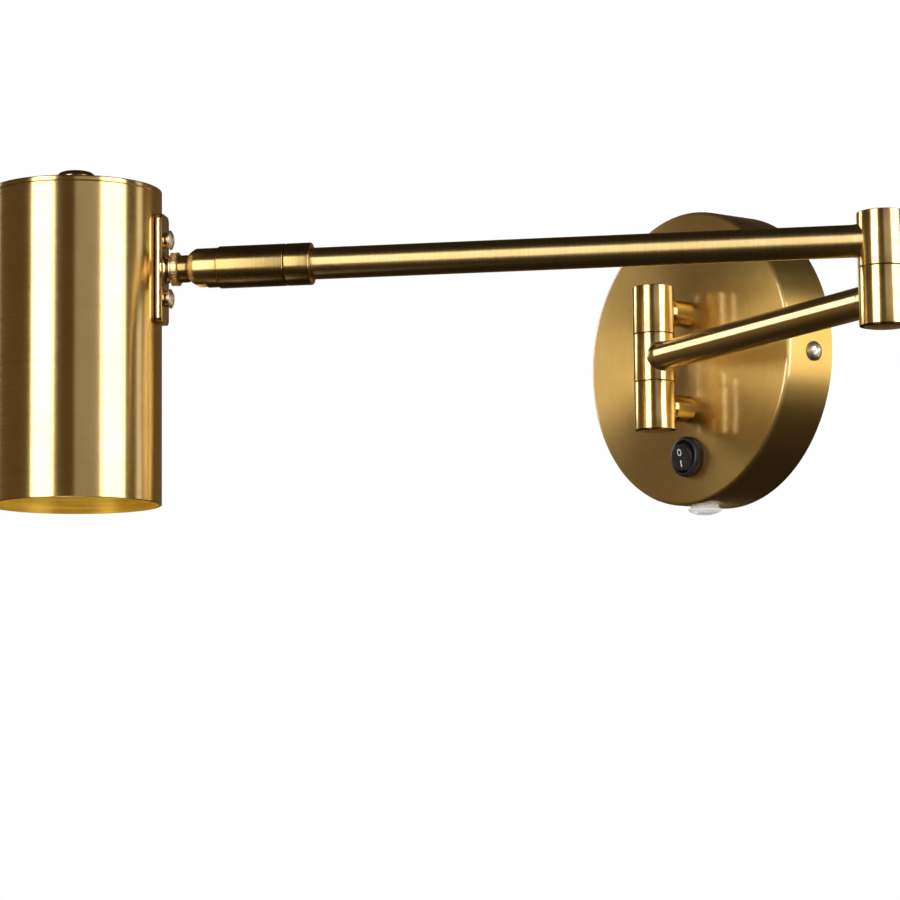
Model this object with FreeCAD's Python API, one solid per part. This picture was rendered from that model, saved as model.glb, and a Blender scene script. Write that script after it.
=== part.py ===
"""Articulating wall lamp: wall plate, two swinging tubes, a slotted ball swivel and a tubular shade.

Millimetres, +Z up.  The wall is the plane y = 0 and the lamp stands out of it towards -Y.  The origin is
the centre of the wall plate's back.  Each arm is modelled along its own +X axis and then turned into place.
"""
import FreeCAD
import Part
import math
import os

# fits
SLIP = 0.05                     # radial play of a shaft, screw or pivot in its hole
BALL_PLAY = 0.1                 # radial play of the ball in its socket
SEAM_GAP = 0.05                 # play between a washer and the knuckle face beside it
SOFT_GAP = 0.1                  # play round a lead in its tube

# wall plate: a shallow spun drum, open to the wall
PLATE_DIAMETER = 122.0
PLATE_DEPTH = 24.5
PLATE_WALL = 1.2
PLATE_EDGE = 1.8                # outer radius of the turned front edge
STIFFENER_WIDTH = 26.0
STIFFENER_MARGIN = 11.0         # plate left past the standoffs' axes
STIFFENER_THICKNESS = 2.0

# strap screwed to the wall
STRAP_WIDTH = 22.0
STRAP_THICKNESS = 2.0
STRAP_BEND = 2.5                # outer radius of the bent corner
TAB_REACH = 16.0                # how far the strap's bent tabs stand out from the wall
TAB_GAP = 0.2                   # least gap from a tab's corners to the drum
WALL_HOLE_SPACING = 60.0
WALL_SLOT_WIDTH = 5.0
WALL_SLOT_LENGTH = 10.0
WIRE_HOLE_DIAMETER = 9.0
WIRE_HOLE_X = -18.5

# screws with domed cross-recess heads
SIDE_SCREW_DIAMETER = 4.0
SIDE_SCREW_LENGTH = 9.0
SIDE_SCREW_HEAD_DIAMETER = 8.0
SIDE_SCREW_HEAD_HEIGHT = 2.6
SIDE_SCREW_Y = -10.5
SIDE_SCREW_DROP = 3.4           # side screws under the drum's middle line
EARTH_SCREW_INSET = 17.0         # earthing screw's axis inside the drum's outline
EARTH_SCREW_LENGTH = 1.6
RECESS_SHARE = 0.62             # cross recess span over head diameter
RECESS_WIDTH = 1.1
RECESS_DEPTH = 1.2

# terminal block on the strap
BLOCK_SIZE = (20.0, 10.0, 16.0)
BLOCK_POLES = 3
BLOCK_SCREW_DIAMETER = 3.0
BLOCK_SCREW_DEPTH = 4.0

# round rocker switch in the plate's face
SWITCH_INSET = 20.0             # switch's axis above the drum's lowest line
BEZEL_DIAMETER = 16.8
BEZEL_HEIGHT = 2.8
BEZEL_EDGE = 1.4
BARREL_DIAMETER = 15.4
BARREL_DEPTH = 12.5
SWITCH_POCKET_DIAMETER = 13.4
ROCKER_DIAMETER = 12.2
ROCKER_PROUD = 0.9              # the rocker's middle stands this far out of the bezel's front
ROCKER_RISE = 3.4               # from the pivot to the rocker's face
ROCKER_DROP = 2.5               # from the pivot to the rocker's underside
ROCKER_TILT = 12.0              # each way from level, degrees
POCKET_FLOOR = 3.9              # from the pivot to the pocket's floor
TRUNNION_DIAMETER = 2.0
TRUNNION_BITE = 0.5             # how deep each trunnion enters the wall
BLADE_SIZE = (0.8, 6.5, 4.8)
BLADE_X = 3.5

# cord gland under the plate's rim
GLAND_Y = -15.5
GLAND_BORE = 5.0
GLAND_THREAD_DIAMETER = 8.4
GLAND_THREAD_TOP = 11.0         # thread's top above the rim's lowest line
GLAND_COLLAR_DIAMETER = 11.4
GLAND_COLLAR_DROP = 1.0         # collar's lower face under the rim's lowest line
GLAND_FLANGE_DIAMETER = 14.0
GLAND_FLANGE_RIM = 0.8           # flange's thickness at its edge
GLAND_FLANGE_DOME = 1.6          # rise of its rounded underside
GLAND_NIB = (2.4, 1.2, 1.0)
GLAND_NUT_WIDTH = 12.0
GLAND_NUT_HEIGHT = 3.0
FOOT_MARGIN = 2.0               # rim's lowest stretch past the gland's flange, each side

# column on the wall plate
COLUMN_REACH = 17.5             # from the plate's face to the column's axis
COLUMN_DIAMETER = 17.0
COLUMN_Z = -1.5                 # height of the middle knuckle
SECTION_HEIGHT = 19.75
STANDOFF_DIAMETER = 11.0
STANDOFF_THREAD_DIAMETER = 8.0
STANDOFF_THREAD_LENGTH = 10.0
STANDOFF_SPIGOT_DIAMETER = 5.0
STANDOFF_SPIGOT_LENGTH = 3.4
STANDOFF_BORE = 3.0
STANDOFF_NUT_WIDTH = 13.0
STANDOFF_NUT_HEIGHT = 5.0

# pivots
PIVOT_DIAMETER = 8.0
PIVOT_BORE = 5.0
PIVOT_INSET = 2.0               # pivot's ends lie this far inside the column's ends
WINDOW_HEIGHT = 5.0             # opening in the pivot for the lead
WASHER_THICKNESS = 0.5
WASHER_INSET = 1.2
CAP_INSET = 1.4
CAP_RISE = 1.0
CAP_STUD_LENGTH = 8.0
COLUMN_EDGE = 0.35

# arms
TUBE_DIAMETER = 12.0
TUBE_WALL = 1.0
TUBE_SOCKET = 5.5               # tube's end from the column's axis
INNER_ARM = 165.0
INNER_DIRECTION = -10.74
OUTER_ARM = 305.0               # elbow axis to shade axis
OUTER_DIRECTION = 222.63
ELBOW_DIAMETER = 18.5
ELBOW_LOWER = 21.5
ELBOW_UPPER = 20.5
LEAD_DIAMETER = 4.4
LEAD_SETBACK = 3.5              # lead's end inside the tube's end
FEED_LEAD_DIAMETER = 2.4
SWITCH_LEAD_DIAMETER = 1.8
LEAD_Y = -8.0                   # plane of the leads inside the plate
FEED_LEAD_END = 3.0             # end of the feed lead, short of the standoff's spigot end

# swivel at the outer arm's end
RING_DIAMETER = 16.0
RING_LENGTH = 9.65
RING_EDGE = 0.5
SWIVEL_GAP = 0.3
SLEEVE_LENGTH = 25.85
SLEEVE_BACK = 4.0               # sleeve's back wall, on the journal
SLEEVE_WALL = 1.15
JOURNAL_DEPTH = 14.0            # journal inside the tube
JOURNAL_BORE = 5.0
JOURNAL_NUT_DIAMETER = 13.0
JOURNAL_NUT_LENGTH = 3.0
JOURNAL_END = 0.35              # journal past its nut
NOSE_DIAMETER = 15.0
NOSE_BACK = 5.5                 # nose's shoulder behind the ball's centre
NOSE_TAIL = 9.0                 # tail inside the sleeve
DOME_RADIUS = 8.1
BALL_DIAMETER = 12.5
SLOT_WIDTH = 6.4
TILT_RANGE = 70.0
SEAT_LENGTH = 6.5
SEAT_FRONT = 3.0                # seat's front behind the ball's centre
SEAT_BORE = 5.0
SPRING_DIAMETER = 12.0
SPRING_BORE = 6.4
SPRING_SHEET = 0.5
SPRING_CONE = 0.45              # height of each washer's cone
PLUG_LENGTH = 2.9

# stem and bracket
STEM_DIAMETER = 5.9
STEM_BACK = 3.5                 # stem's end behind the ball's centre
STEM_BORE = 3.2
NECK_DIAMETER = 10.4
NECK_CLEARANCE = 0.3            # between the neck's hollow end and the dome
NECK_END = 10.05                # from the ball's centre
STEM_THREAD_DIAMETER = 8.0
STEM_THREAD_END = 1.75          # thread's end inside the shade's surface
LOCK_NUT_DIAMETER = 13.0
LOCK_NUT_LENGTH = 3.0
LOCK_NUT_NOTCHES = 24
LOCK_NUT_NOTCH = 0.35
BOSS_TIP_DIAMETER = 10.0
BOSS_FOOT_DIAMETER = 11.0
BOSS_LENGTH = 2.7
BRACKET_HEIGHT = 42.0
BRACKET_WIDTH = 11.0
BRACKET_THICKNESS = 2.5
BRACKET_CORNER = 2.4
BRACKET_SCREW_SPACING = 22.5
BRACKET_SCREW_DIAMETER = 3.5
BRACKET_SCREW_HEAD_DIAMETER = 7.5
BRACKET_SCREW_HEAD_HEIGHT = 1.7
BRACKET_COLLAR_DIAMETER = 6.0
BRACKET_COLLAR_LENGTH = 1.7
BRACKET_NUT_WIDTH = 6.0
BRACKET_NUT_HEIGHT = 2.2
BRACKET_SCREW_PAST_NUT = 0.6

# shade
SHADE_DIAMETER = 65.5
SHADE_WALL = 1.0
SHADE_TOP = 31.6                # above the outer arm's axis
SHADE_HEIGHT = 120.5
SHADE_CAP_THICKNESS = 2.0
SHADE_CAP_SKIRT = 4.0
SHADE_CAP_EDGE = 0.5
KNOB_DIAMETER = 15.0
KNOB_HEIGHT = 7.5
KNOB_EDGE = 2.6
KNOB_BLIND = 2.0                # knob left over the nipple's end

# lamp holder, hung from the shade's cap
NIPPLE_DIAMETER = 10.0
NIPPLE_BORE = 7.0
NIPPLE_INTO_HOLDER = 6.0
NIPPLE_NUT_WIDTH = 14.0
NIPPLE_NUT_HEIGHT = 3.0
HOLDER_DIAMETER = 26.0
HOLDER_LENGTH = 42.0
HOLDER_WALL = 1.6
HOLDER_TOP_WALL = 3.0
INSERT_DROP = 9.0               # insert's top under the holder's top
INSERT_LENGTH = 11.0
CONTACT_BORE = 14.6
CONTACT_WALL = 0.8
CONTACT_LENGTH = 19.0
BULB_BASE_DIAMETER = 14.0
BULB_BASE_LENGTH = 22.0
BULB_DIAMETER = 45.0
BULB_NECK_DIAMETER = 15.0
BULB_NECK_SLOPE = 38.0          # where the neck leaves the globe, degrees above its middle
BULB_WALL = 0.8
BULB_LENGTH = 72.0
HEAD_LEAD_DIAMETER = 2.4

# worked out from the sizes above
X_AXIS = FreeCAD.Vector(1, 0, 0)
Y_AXIS = FreeCAD.Vector(0, 1, 0)
Z_AXIS = FreeCAD.Vector(0, 0, 1)
ORIGIN = FreeCAD.Vector(0, 0, 0)
PLATE_RADIUS = PLATE_DIAMETER / 2
EARTH_SCREW_X = PLATE_RADIUS - EARTH_SCREW_INSET
SWITCH_Z = SWITCH_INSET - PLATE_RADIUS
FOOT_HALF_WIDTH = GLAND_FLANGE_DIAMETER / 2 + FOOT_MARGIN
FACE_Y = -PLATE_DEPTH
FACE_BACK_Y = FACE_Y + PLATE_WALL
COLUMN_Y = FACE_Y - COLUMN_REACH
COLUMN_RADIUS = COLUMN_DIAMETER / 2
COLUMN_TOP = COLUMN_Z + 1.5 * SECTION_HEIGHT
COLUMN_BOTTOM = COLUMN_Z - 1.5 * SECTION_HEIGHT
STANDOFF_HEIGHTS = (COLUMN_Z + SECTION_HEIGHT, COLUMN_Z - SECTION_HEIGHT)
SEAM_HALF = WASHER_THICKNESS / 2 + SEAM_GAP
TUBE_RADIUS = TUBE_DIAMETER / 2
TUBE_BORE_RADIUS = TUBE_RADIUS - TUBE_WALL
ELBOW_SEAM = COLUMN_Z + ELBOW_LOWER / 2
ELBOW_TOP = ELBOW_SEAM + ELBOW_UPPER
ELBOW_BOTTOM = ELBOW_SEAM - ELBOW_LOWER
OUTER_Z = ELBOW_SEAM + ELBOW_UPPER / 2
SHADE_RADIUS = SHADE_DIAMETER / 2
SHADE_BOTTOM = SHADE_TOP - SHADE_HEIGHT
SHADE_SEAM = SHADE_TOP - SHADE_CAP_THICKNESS
SHADE_FACE = OUTER_ARM - SHADE_RADIUS
BRACKET_FACE = SHADE_FACE - BRACKET_THICKNESS
BOSS_FACE = BRACKET_FACE - BOSS_LENGTH
LOCK_NUT_FACE = BOSS_FACE - LOCK_NUT_LENGTH
BALL_X = LOCK_NUT_FACE - NECK_END
NOSE_SHOULDER = BALL_X - NOSE_BACK
SLEEVE_START = NOSE_SHOULDER - SLEEVE_LENGTH
OUTER_TUBE_END = SLEEVE_START - SWIVEL_GAP
SLEEVE_BORE_RADIUS = RING_DIAMETER / 2 - SLEEVE_WALL
BALL_RADIUS = BALL_DIAMETER / 2
SOCKET_RADIUS = BALL_RADIUS + BALL_PLAY
JOURNAL_RADIUS = TUBE_BORE_RADIUS - SLIP
HOLDER_TOP = SHADE_SEAM - NIPPLE_NUT_HEIGHT
HOLDER_RADIUS = HOLDER_DIAMETER / 2
INSERT_BOTTOM = HOLDER_TOP - INSERT_DROP - INSERT_LENGTH
PIVOT_Y = FACE_Y - BEZEL_HEIGHT - ROCKER_PROUD + ROCKER_RISE
ROCKER_RADIUS = ROCKER_DIAMETER / 2
SWITCH_REAR_Y = FACE_Y + BARREL_DEPTH
RIM_BOTTOM = -PLATE_RADIUS


def rod(diameter, start, end, axis=X_AXIS, centre=ORIGIN):
    """Cylinder along an axis through centre, from start to end along that axis."""
    return Part.makeCylinder(diameter / 2, end - start, centre + axis * start, axis)


def pipe(diameter, bore, start, end, axis=X_AXIS, centre=ORIGIN):
    """Hollow cylinder."""
    return rod(diameter, start, end, axis, centre).cut(rod(bore, start, end, axis, centre))


def cone(start_diameter, end_diameter, start, end, axis=X_AXIS, centre=ORIGIN):
    """Truncated cone along an axis."""
    return Part.makeCone(start_diameter / 2, end_diameter / 2, end - start, centre + axis * start, axis)


def block(x_range, y_range, z_range):
    """Box between two corners."""
    corner = FreeCAD.Vector(x_range[0], y_range[0], z_range[0])
    size = [pair[1] - pair[0] for pair in (x_range, y_range, z_range)]
    return Part.makeBox(size[0], size[1], size[2], corner)


def hexagon(width, start, end, axis=X_AXIS, centre=ORIGIN):
    """Hexagonal prism, width across flats."""
    across = rod(2 * width, start, end, axis, centre)
    side = Z_AXIS if abs(axis.z) < 0.5 else X_AXIS
    base = centre + axis * start
    slab = Part.makeBox(width, 2 * width, end - start, FreeCAD.Vector(-width / 2, -width, 0))
    slab.Placement = FreeCAD.Placement(base, FreeCAD.Rotation(axis.cross(side), side, axis, "ZXY"))
    prism = across
    for turn in (0, 60, 120):
        turned = slab.copy()
        turned.rotate(base, axis, turn)
        prism = prism.common(turned)
    return prism


def edges_at(shape, axis, value, radius=None):
    """Round edges that lie in the plane where axis equals value, of the given radius if it is stated."""
    found = []
    for edge in shape.Edges:
        if not isinstance(edge.Curve, Part.Circle):
            continue
        if abs(edge.Curve.Center.dot(axis) - value) > 1e-4 or abs(abs(edge.Curve.Axis.dot(axis)) - 1) > 1e-4:
            continue
        if radius is None or abs(edge.Curve.Radius - radius) < 1e-4:
            found.append(edge)
    return found


def domed(diameter, rise, base, axis, centre=ORIGIN):
    """Shallow dome on a round base."""
    radius = diameter / 2
    sphere_radius = (radius ** 2 + rise ** 2) / (2 * rise)
    ball = Part.makeSphere(sphere_radius, centre + axis * (base + rise - sphere_radius))
    return rod(diameter, base, base + rise, axis, centre).common(ball)


def cross_recess(head_diameter, top, axis, centre):
    """Cross-shaped recess cut into a screw head."""
    span = head_diameter * RECESS_SHARE
    side = Z_AXIS if abs(axis.z) < 0.5 else X_AXIS
    low = centre + axis * (top - RECESS_DEPTH)
    arm = Part.makeBox(span, RECESS_WIDTH, 2 * RECESS_DEPTH,
                       FreeCAD.Vector(-span / 2, -RECESS_WIDTH / 2, 0))
    arm.Placement = FreeCAD.Placement(low, FreeCAD.Rotation(axis.cross(side), side, axis, "ZXY"))
    other = arm.copy()
    other.rotate(low, axis, 90)
    return arm.fuse(other)


def pan_screw(head_diameter, head_height, diameter, length, seat, axis, centre):
    """Domed screw: its head stands on seat along axis, its shank runs the other way."""
    head = domed(head_diameter, head_height, seat, axis, centre)
    head = head.cut(cross_recess(head_diameter, seat + head_height, axis, centre))
    return head.fuse(rod(diameter, seat - length, seat, axis, centre)).removeSplitter()


def column_section(diameter, bore, low, high, centre):
    """One knuckle of a column, its outer edges broken."""
    body = rod(diameter, low, high, Z_AXIS, centre)
    edges = edges_at(body, Z_AXIS, low) + edges_at(body, Z_AXIS, high)
    body = body.makeFillet(COLUMN_EDGE, edges)
    return body.cut(rod(bore, low, high, Z_AXIS, centre))


def column_cap(diameter, face, axis, centre):
    """Shallow domed cap whose stud screws into the end of the pivot."""
    top = domed(diameter - 2 * CAP_INSET, CAP_RISE, face, axis, centre)
    stud = rod(PIVOT_BORE - 2 * SLIP, face - CAP_STUD_LENGTH, face, axis, centre)
    return top.fuse(stud).removeSplitter()


def washer(diameter, height, centre):
    """Thin washer between two knuckles."""
    low = height - WASHER_THICKNESS / 2
    outer = diameter - 2 * WASHER_INSET
    return pipe(outer, PIVOT_DIAMETER + 2 * SLIP, low, low + WASHER_THICKNESS, Z_AXIS, centre)


def lead_along_tube(start, end, height):
    """Flexible lead that lies along the bottom of a tube's bore."""
    drop = TUBE_BORE_RADIUS - LEAD_DIAMETER / 2 - SOFT_GAP
    centre = FreeCAD.Vector(0, 0, height - drop)
    return rod(LEAD_DIAMETER, start + LEAD_SETBACK, end - LEAD_SETBACK, X_AXIS, centre)


def tube_socket(height, direction):
    """Space for an arm's tube in a knuckle, with the lead's hole down to the pivot."""
    centre = FreeCAD.Vector(0, 0, height)
    socket = rod(TUBE_DIAMETER + 2 * SLIP, TUBE_SOCKET, TUBE_DIAMETER * 2, X_AXIS, centre)
    hole = rod(WINDOW_HEIGHT, 0, TUBE_DIAMETER, X_AXIS, centre)
    space = socket.fuse(hole)
    space.rotate(centre, Z_AXIS, direction)
    return space


WALL_AXIS = FreeCAD.Vector(0, COLUMN_Y, 0)
INNER_UNIT = FreeCAD.Vector(math.cos(math.radians(INNER_DIRECTION)),
                            math.sin(math.radians(INNER_DIRECTION)), 0)
ELBOW_AXIS = WALL_AXIS + INNER_UNIT * INNER_ARM


def on_inner_arm(shape):
    """Moves a shape modelled along +X from the wall column's axis into the inner arm's place."""
    shape.rotate(ORIGIN, Z_AXIS, INNER_DIRECTION)
    shape.translate(WALL_AXIS)
    return shape


def on_outer_arm(shape):
    """Moves a shape modelled along +X from the elbow's axis, its height 0 on the arm's axis, into place."""
    shape.rotate(ORIGIN, Z_AXIS, OUTER_DIRECTION)
    shape.translate(ELBOW_AXIS + Z_AXIS * OUTER_Z)
    return shape


# ---- wall plate -------------------------------------------------------------------------------------

def plate_shell():
    """Spun drum: a flat face and a rim of one wall thickness."""
    shell = rod(PLATE_DIAMETER, FACE_Y, 0, Y_AXIS)
    shell = shell.makeFillet(PLATE_EDGE, edges_at(shell, Y_AXIS, FACE_Y))
    inside = rod(PLATE_DIAMETER - 2 * PLATE_WALL, FACE_BACK_Y, 0, Y_AXIS)
    inside = inside.makeFillet(PLATE_EDGE - PLATE_WALL, edges_at(inside, Y_AXIS, FACE_BACK_Y))
    return shell.cut(inside)


def plate_face():
    """Front wall of the drum, with holes for the standoffs and the switch."""
    face = plate_shell().common(rod(PLATE_DIAMETER, FACE_Y, FACE_BACK_Y, Y_AXIS))
    for height in STANDOFF_HEIGHTS:
        centre = Z_AXIS * height
        face = face.cut(rod(STANDOFF_THREAD_DIAMETER + 2 * SLIP, FACE_Y, FACE_BACK_Y, Y_AXIS, centre))
    return face.cut(rod(BARREL_DIAMETER + 2 * SLIP, FACE_Y, FACE_BACK_Y, Y_AXIS, Z_AXIS * SWITCH_Z))


def foot_space():
    """Space that holds the rim's lowest stretch, round the gland."""
    return block((-FOOT_HALF_WIDTH, FOOT_HALF_WIDTH), (FACE_BACK_Y, 0), (-PLATE_DIAMETER, 0))


def side_screw_line():
    """A point on the line that both side screws lie on."""
    return Y_AXIS * SIDE_SCREW_Y - Z_AXIS * SIDE_SCREW_DROP


def plate_rim():
    """Side wall of the drum but for its lowest stretch, with holes for the side screws."""
    rim = plate_shell().common(rod(PLATE_DIAMETER, FACE_BACK_Y, 0, Y_AXIS)).cut(foot_space())
    return rim.cut(rod(SIDE_SCREW_DIAMETER + 2 * SLIP, -PLATE_DIAMETER, PLATE_DIAMETER, X_AXIS,
                       side_screw_line()))


def plate_rim_foot():
    """Lowest stretch of the drum's side wall, with the hole for the gland."""
    foot = plate_shell().common(foot_space())
    return foot.cut(rod(GLAND_THREAD_DIAMETER + 2 * SLIP, -PLATE_DIAMETER, 0, Z_AXIS, Y_AXIS * GLAND_Y))


def stiffener_plate():
    """Plate behind the face that spreads the arm's load."""
    top = STANDOFF_HEIGHTS[0] + STIFFENER_MARGIN
    bottom = STANDOFF_HEIGHTS[1] - STIFFENER_MARGIN
    half = STIFFENER_WIDTH / 2
    plate = block((-half, half), (FACE_BACK_Y, FACE_BACK_Y + STIFFENER_THICKNESS), (bottom, top))
    for height in STANDOFF_HEIGHTS:
        hole = rod(STANDOFF_THREAD_DIAMETER + 2 * SLIP, FACE_Y, 0, Y_AXIS, Z_AXIS * height)
        plate = plate.cut(hole)
    return plate


def tab_face():
    """Distance of the strap's tabs from the middle, so that their corners clear the drum."""
    inner = PLATE_RADIUS - PLATE_WALL - TAB_GAP
    return math.sqrt(inner ** 2 - (STRAP_WIDTH / 2) ** 2)


def mounting_bracket():
    """Bent strap with slots for the wall screws and a tapped tab for each side screw."""
    half = STRAP_WIDTH / 2
    reach = tab_face()
    outer = block((-reach, reach), (-TAB_REACH, 0), (-half, half))
    corners = [e for e in outer.Edges if abs(e.CenterOfMass.y) < 1e-6 and abs(e.CenterOfMass.z) < 1e-6]
    outer = outer.makeFillet(STRAP_BEND, corners)
    inside = block((-reach + STRAP_THICKNESS, reach - STRAP_THICKNESS),
                   (-2 * TAB_REACH, -STRAP_THICKNESS), (-STRAP_WIDTH, STRAP_WIDTH))
    bends = [e for e in inside.Edges
             if abs(e.CenterOfMass.y + STRAP_THICKNESS) < 1e-6 and abs(e.CenterOfMass.z) < 1e-6]
    strap = outer.cut(inside.makeFillet(STRAP_BEND - STRAP_THICKNESS, bends))
    run = (WALL_SLOT_LENGTH - WALL_SLOT_WIDTH) / 2
    for side in (-1, 1):
        middle = side * WALL_HOLE_SPACING / 2
        for end in (-run, run):
            strap = strap.cut(rod(WALL_SLOT_WIDTH, -TAB_REACH, 0, Y_AXIS, X_AXIS * (middle + end)))
        strap = strap.cut(block((middle - run, middle + run), (-TAB_REACH, 0),
                                (-WALL_SLOT_WIDTH / 2, WALL_SLOT_WIDTH / 2)))
    strap = strap.cut(rod(WIRE_HOLE_DIAMETER, -TAB_REACH, 0, Y_AXIS, X_AXIS * WIRE_HOLE_X))
    strap = strap.cut(rod(SIDE_SCREW_DIAMETER + 2 * SLIP, -TAB_REACH, 0, Y_AXIS, X_AXIS * EARTH_SCREW_X))
    tapped = rod(SIDE_SCREW_DIAMETER + 2 * SLIP, -PLATE_DIAMETER, PLATE_DIAMETER, X_AXIS,
                 side_screw_line())
    return strap.cut(tapped)


def side_screws():
    """The two screws that hold the drum to the strap's tabs."""
    centre = side_screw_line()
    return Part.makeCompound([
        pan_screw(SIDE_SCREW_HEAD_DIAMETER, SIDE_SCREW_HEAD_HEIGHT, SIDE_SCREW_DIAMETER,
                  SIDE_SCREW_LENGTH, PLATE_RADIUS, X_AXIS * side, centre) for side in (1, -1)])


def earth_screw():
    """Earthing screw in the strap."""
    return pan_screw(SIDE_SCREW_HEAD_DIAMETER, SIDE_SCREW_HEAD_HEIGHT, SIDE_SCREW_DIAMETER,
                     EARTH_SCREW_LENGTH, STRAP_THICKNESS, -Y_AXIS, X_AXIS * EARTH_SCREW_X)


def block_pole_x():
    """Places of the terminal block's poles."""
    pitch = BLOCK_SIZE[0] / BLOCK_POLES
    return [(pole - (BLOCK_POLES - 1) / 2) * pitch for pole in range(BLOCK_POLES)]


def terminal_block():
    """Moulded block on the strap, with a well for each clamping screw."""
    half = [size / 2 for size in BLOCK_SIZE]
    front = -STRAP_THICKNESS - BLOCK_SIZE[1]
    body = block((-half[0], half[0]), (front, -STRAP_THICKNESS), (-half[2], half[2]))
    for x in block_pole_x():
        well = rod(BLOCK_SCREW_DIAMETER + 2 * SLIP, front, front + BLOCK_SCREW_DEPTH, Y_AXIS, X_AXIS * x)
        body = body.cut(well)
    return body


def terminal_screws():
    """Clamping screws, sunk in the block's wells."""
    front = -STRAP_THICKNESS - BLOCK_SIZE[1]
    floor = front + BLOCK_SCREW_DEPTH
    low = front + BLOCK_SCREW_DEPTH / 2
    screws = []
    for x in block_pole_x():
        screw = rod(BLOCK_SCREW_DIAMETER, low, floor, Y_AXIS, X_AXIS * x)
        span = BLOCK_SCREW_DIAMETER
        groove = block((x - span, x + span), (low, low + BLOCK_SCREW_DEPTH / 8), (-span / 8, span / 8))
        screws.append(screw.cut(groove))
    return Part.makeCompound(screws)


def plate_leads():
    """Leads inside the plate: block to switch, and block to the upper standoff's bore."""
    top = SWITCH_Z + BLADE_SIZE[2] / 2
    bottom = -BLOCK_SIZE[2] / 2
    leads = [rod(SWITCH_LEAD_DIAMETER, top, bottom, Z_AXIS, FreeCAD.Vector(x, LEAD_Y, 0))
             for x in (-BLADE_X, BLADE_X)]
    shank_end = FACE_BACK_Y + STANDOFF_THREAD_LENGTH
    bend = LEAD_Y - shank_end
    height = STANDOFF_HEIGHTS[0]
    end_y = COLUMN_Y + COLUMN_RADIUS + FEED_LEAD_END
    start = FreeCAD.Vector(0, LEAD_Y, -bottom)
    low = FreeCAD.Vector(0, LEAD_Y, height - bend)
    middle = FreeCAD.Vector(0, LEAD_Y - bend * (1 - math.sqrt(0.5)), height - bend * (1 - math.sqrt(0.5)))
    high = FreeCAD.Vector(0, LEAD_Y - bend, height)
    route = Part.Wire([Part.LineSegment(start, low).toShape(), Part.Arc(low, middle, high).toShape(),
                       Part.LineSegment(high, FreeCAD.Vector(0, end_y, height)).toShape()])
    ring = Part.Wire([Part.makeCircle(FEED_LEAD_DIAMETER / 2, start, Z_AXIS)])
    leads.append(route.makePipeShell([ring], True, True))
    return Part.makeCompound(leads)


def standoff(height):
    """Post between the plate's face and a wall knuckle: thread, saddle, spigot and lead bore."""
    centre = Z_AXIS * height
    post = rod(STANDOFF_DIAMETER, COLUMN_Y, FACE_Y, Y_AXIS, centre)
    post = post.cut(rod(COLUMN_DIAMETER, -PLATE_DIAMETER, PLATE_DIAMETER, Z_AXIS, WALL_AXIS))
    spigot_tip = COLUMN_Y + COLUMN_RADIUS - STANDOFF_SPIGOT_LENGTH
    post = post.fuse(rod(STANDOFF_SPIGOT_DIAMETER, spigot_tip, FACE_Y, Y_AXIS, centre))
    shank_end = FACE_BACK_Y + STANDOFF_THREAD_LENGTH
    post = post.fuse(rod(STANDOFF_THREAD_DIAMETER, FACE_Y, shank_end, Y_AXIS, centre))
    return post.cut(rod(STANDOFF_BORE, spigot_tip, shank_end, Y_AXIS, centre)).removeSplitter()


def standoff_nuts():
    """Nuts on the standoffs' threads, against the stiffener."""
    start = FACE_BACK_Y + STIFFENER_THICKNESS
    nuts = []
    for height in STANDOFF_HEIGHTS:
        nut = hexagon(STANDOFF_NUT_WIDTH, start, start + STANDOFF_NUT_HEIGHT, Y_AXIS, Z_AXIS * height)
        hole = rod(STANDOFF_THREAD_DIAMETER + 2 * SLIP, start, 0, Y_AXIS, Z_AXIS * height)
        nuts.append(nut.cut(hole))
    return Part.makeCompound(nuts)


# ---- switch -----------------------------------------------------------------------------------------

SWITCH_CENTRE = Z_AXIS * SWITCH_Z
ROCKER_PIVOT = FreeCAD.Vector(0, PIVOT_Y, SWITCH_Z)


def switch_housing():
    """Round housing with a bezel, a pocket for the rocker and two trunnion holes."""
    front = FACE_Y - BEZEL_HEIGHT
    bezel = rod(BEZEL_DIAMETER, front, FACE_Y, Y_AXIS, SWITCH_CENTRE)
    bezel = bezel.makeFillet(BEZEL_EDGE, edges_at(bezel, Y_AXIS, front))
    body = bezel.fuse(rod(BARREL_DIAMETER, FACE_Y, SWITCH_REAR_Y, Y_AXIS, SWITCH_CENTRE))
    body = body.cut(rod(SWITCH_POCKET_DIAMETER, front, PIVOT_Y + POCKET_FLOOR, Y_AXIS, SWITCH_CENTRE))
    reach = SWITCH_POCKET_DIAMETER / 2 + TRUNNION_BITE + SLIP
    return body.cut(rod(TRUNNION_DIAMETER + 2 * SLIP, -reach, reach, X_AXIS, ROCKER_PIVOT))


def switch_rocker():
    """Flat-faced rocker on its two trunnions, tilted so that its upper half stands out."""
    drum = rod(ROCKER_DIAMETER, PIVOT_Y - ROCKER_RISE, PIVOT_Y + ROCKER_DROP, Y_AXIS, SWITCH_CENTRE)
    body = drum.common(rod(ROCKER_DIAMETER, -ROCKER_DIAMETER, ROCKER_DIAMETER, X_AXIS, ROCKER_PIVOT))
    reach = SWITCH_POCKET_DIAMETER / 2 + TRUNNION_BITE
    body = body.fuse(rod(TRUNNION_DIAMETER, -reach, reach, X_AXIS, ROCKER_PIVOT)).removeSplitter()
    body.rotate(ROCKER_PIVOT, X_AXIS, ROCKER_TILT)
    return body


def switch_terminals():
    """Two blades behind the housing."""
    half = [size / 2 for size in BLADE_SIZE]
    blades = []
    for x in (-BLADE_X, BLADE_X):
        blades.append(block((x - half[0], x + half[0]), (SWITCH_REAR_Y, SWITCH_REAR_Y + BLADE_SIZE[1]),
                            (SWITCH_Z - half[2], SWITCH_Z + half[2])))
    return Part.makeCompound(blades)


# ---- cord gland -------------------------------------------------------------------------------------

GLAND_CENTRE = Y_AXIS * GLAND_Y


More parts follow.
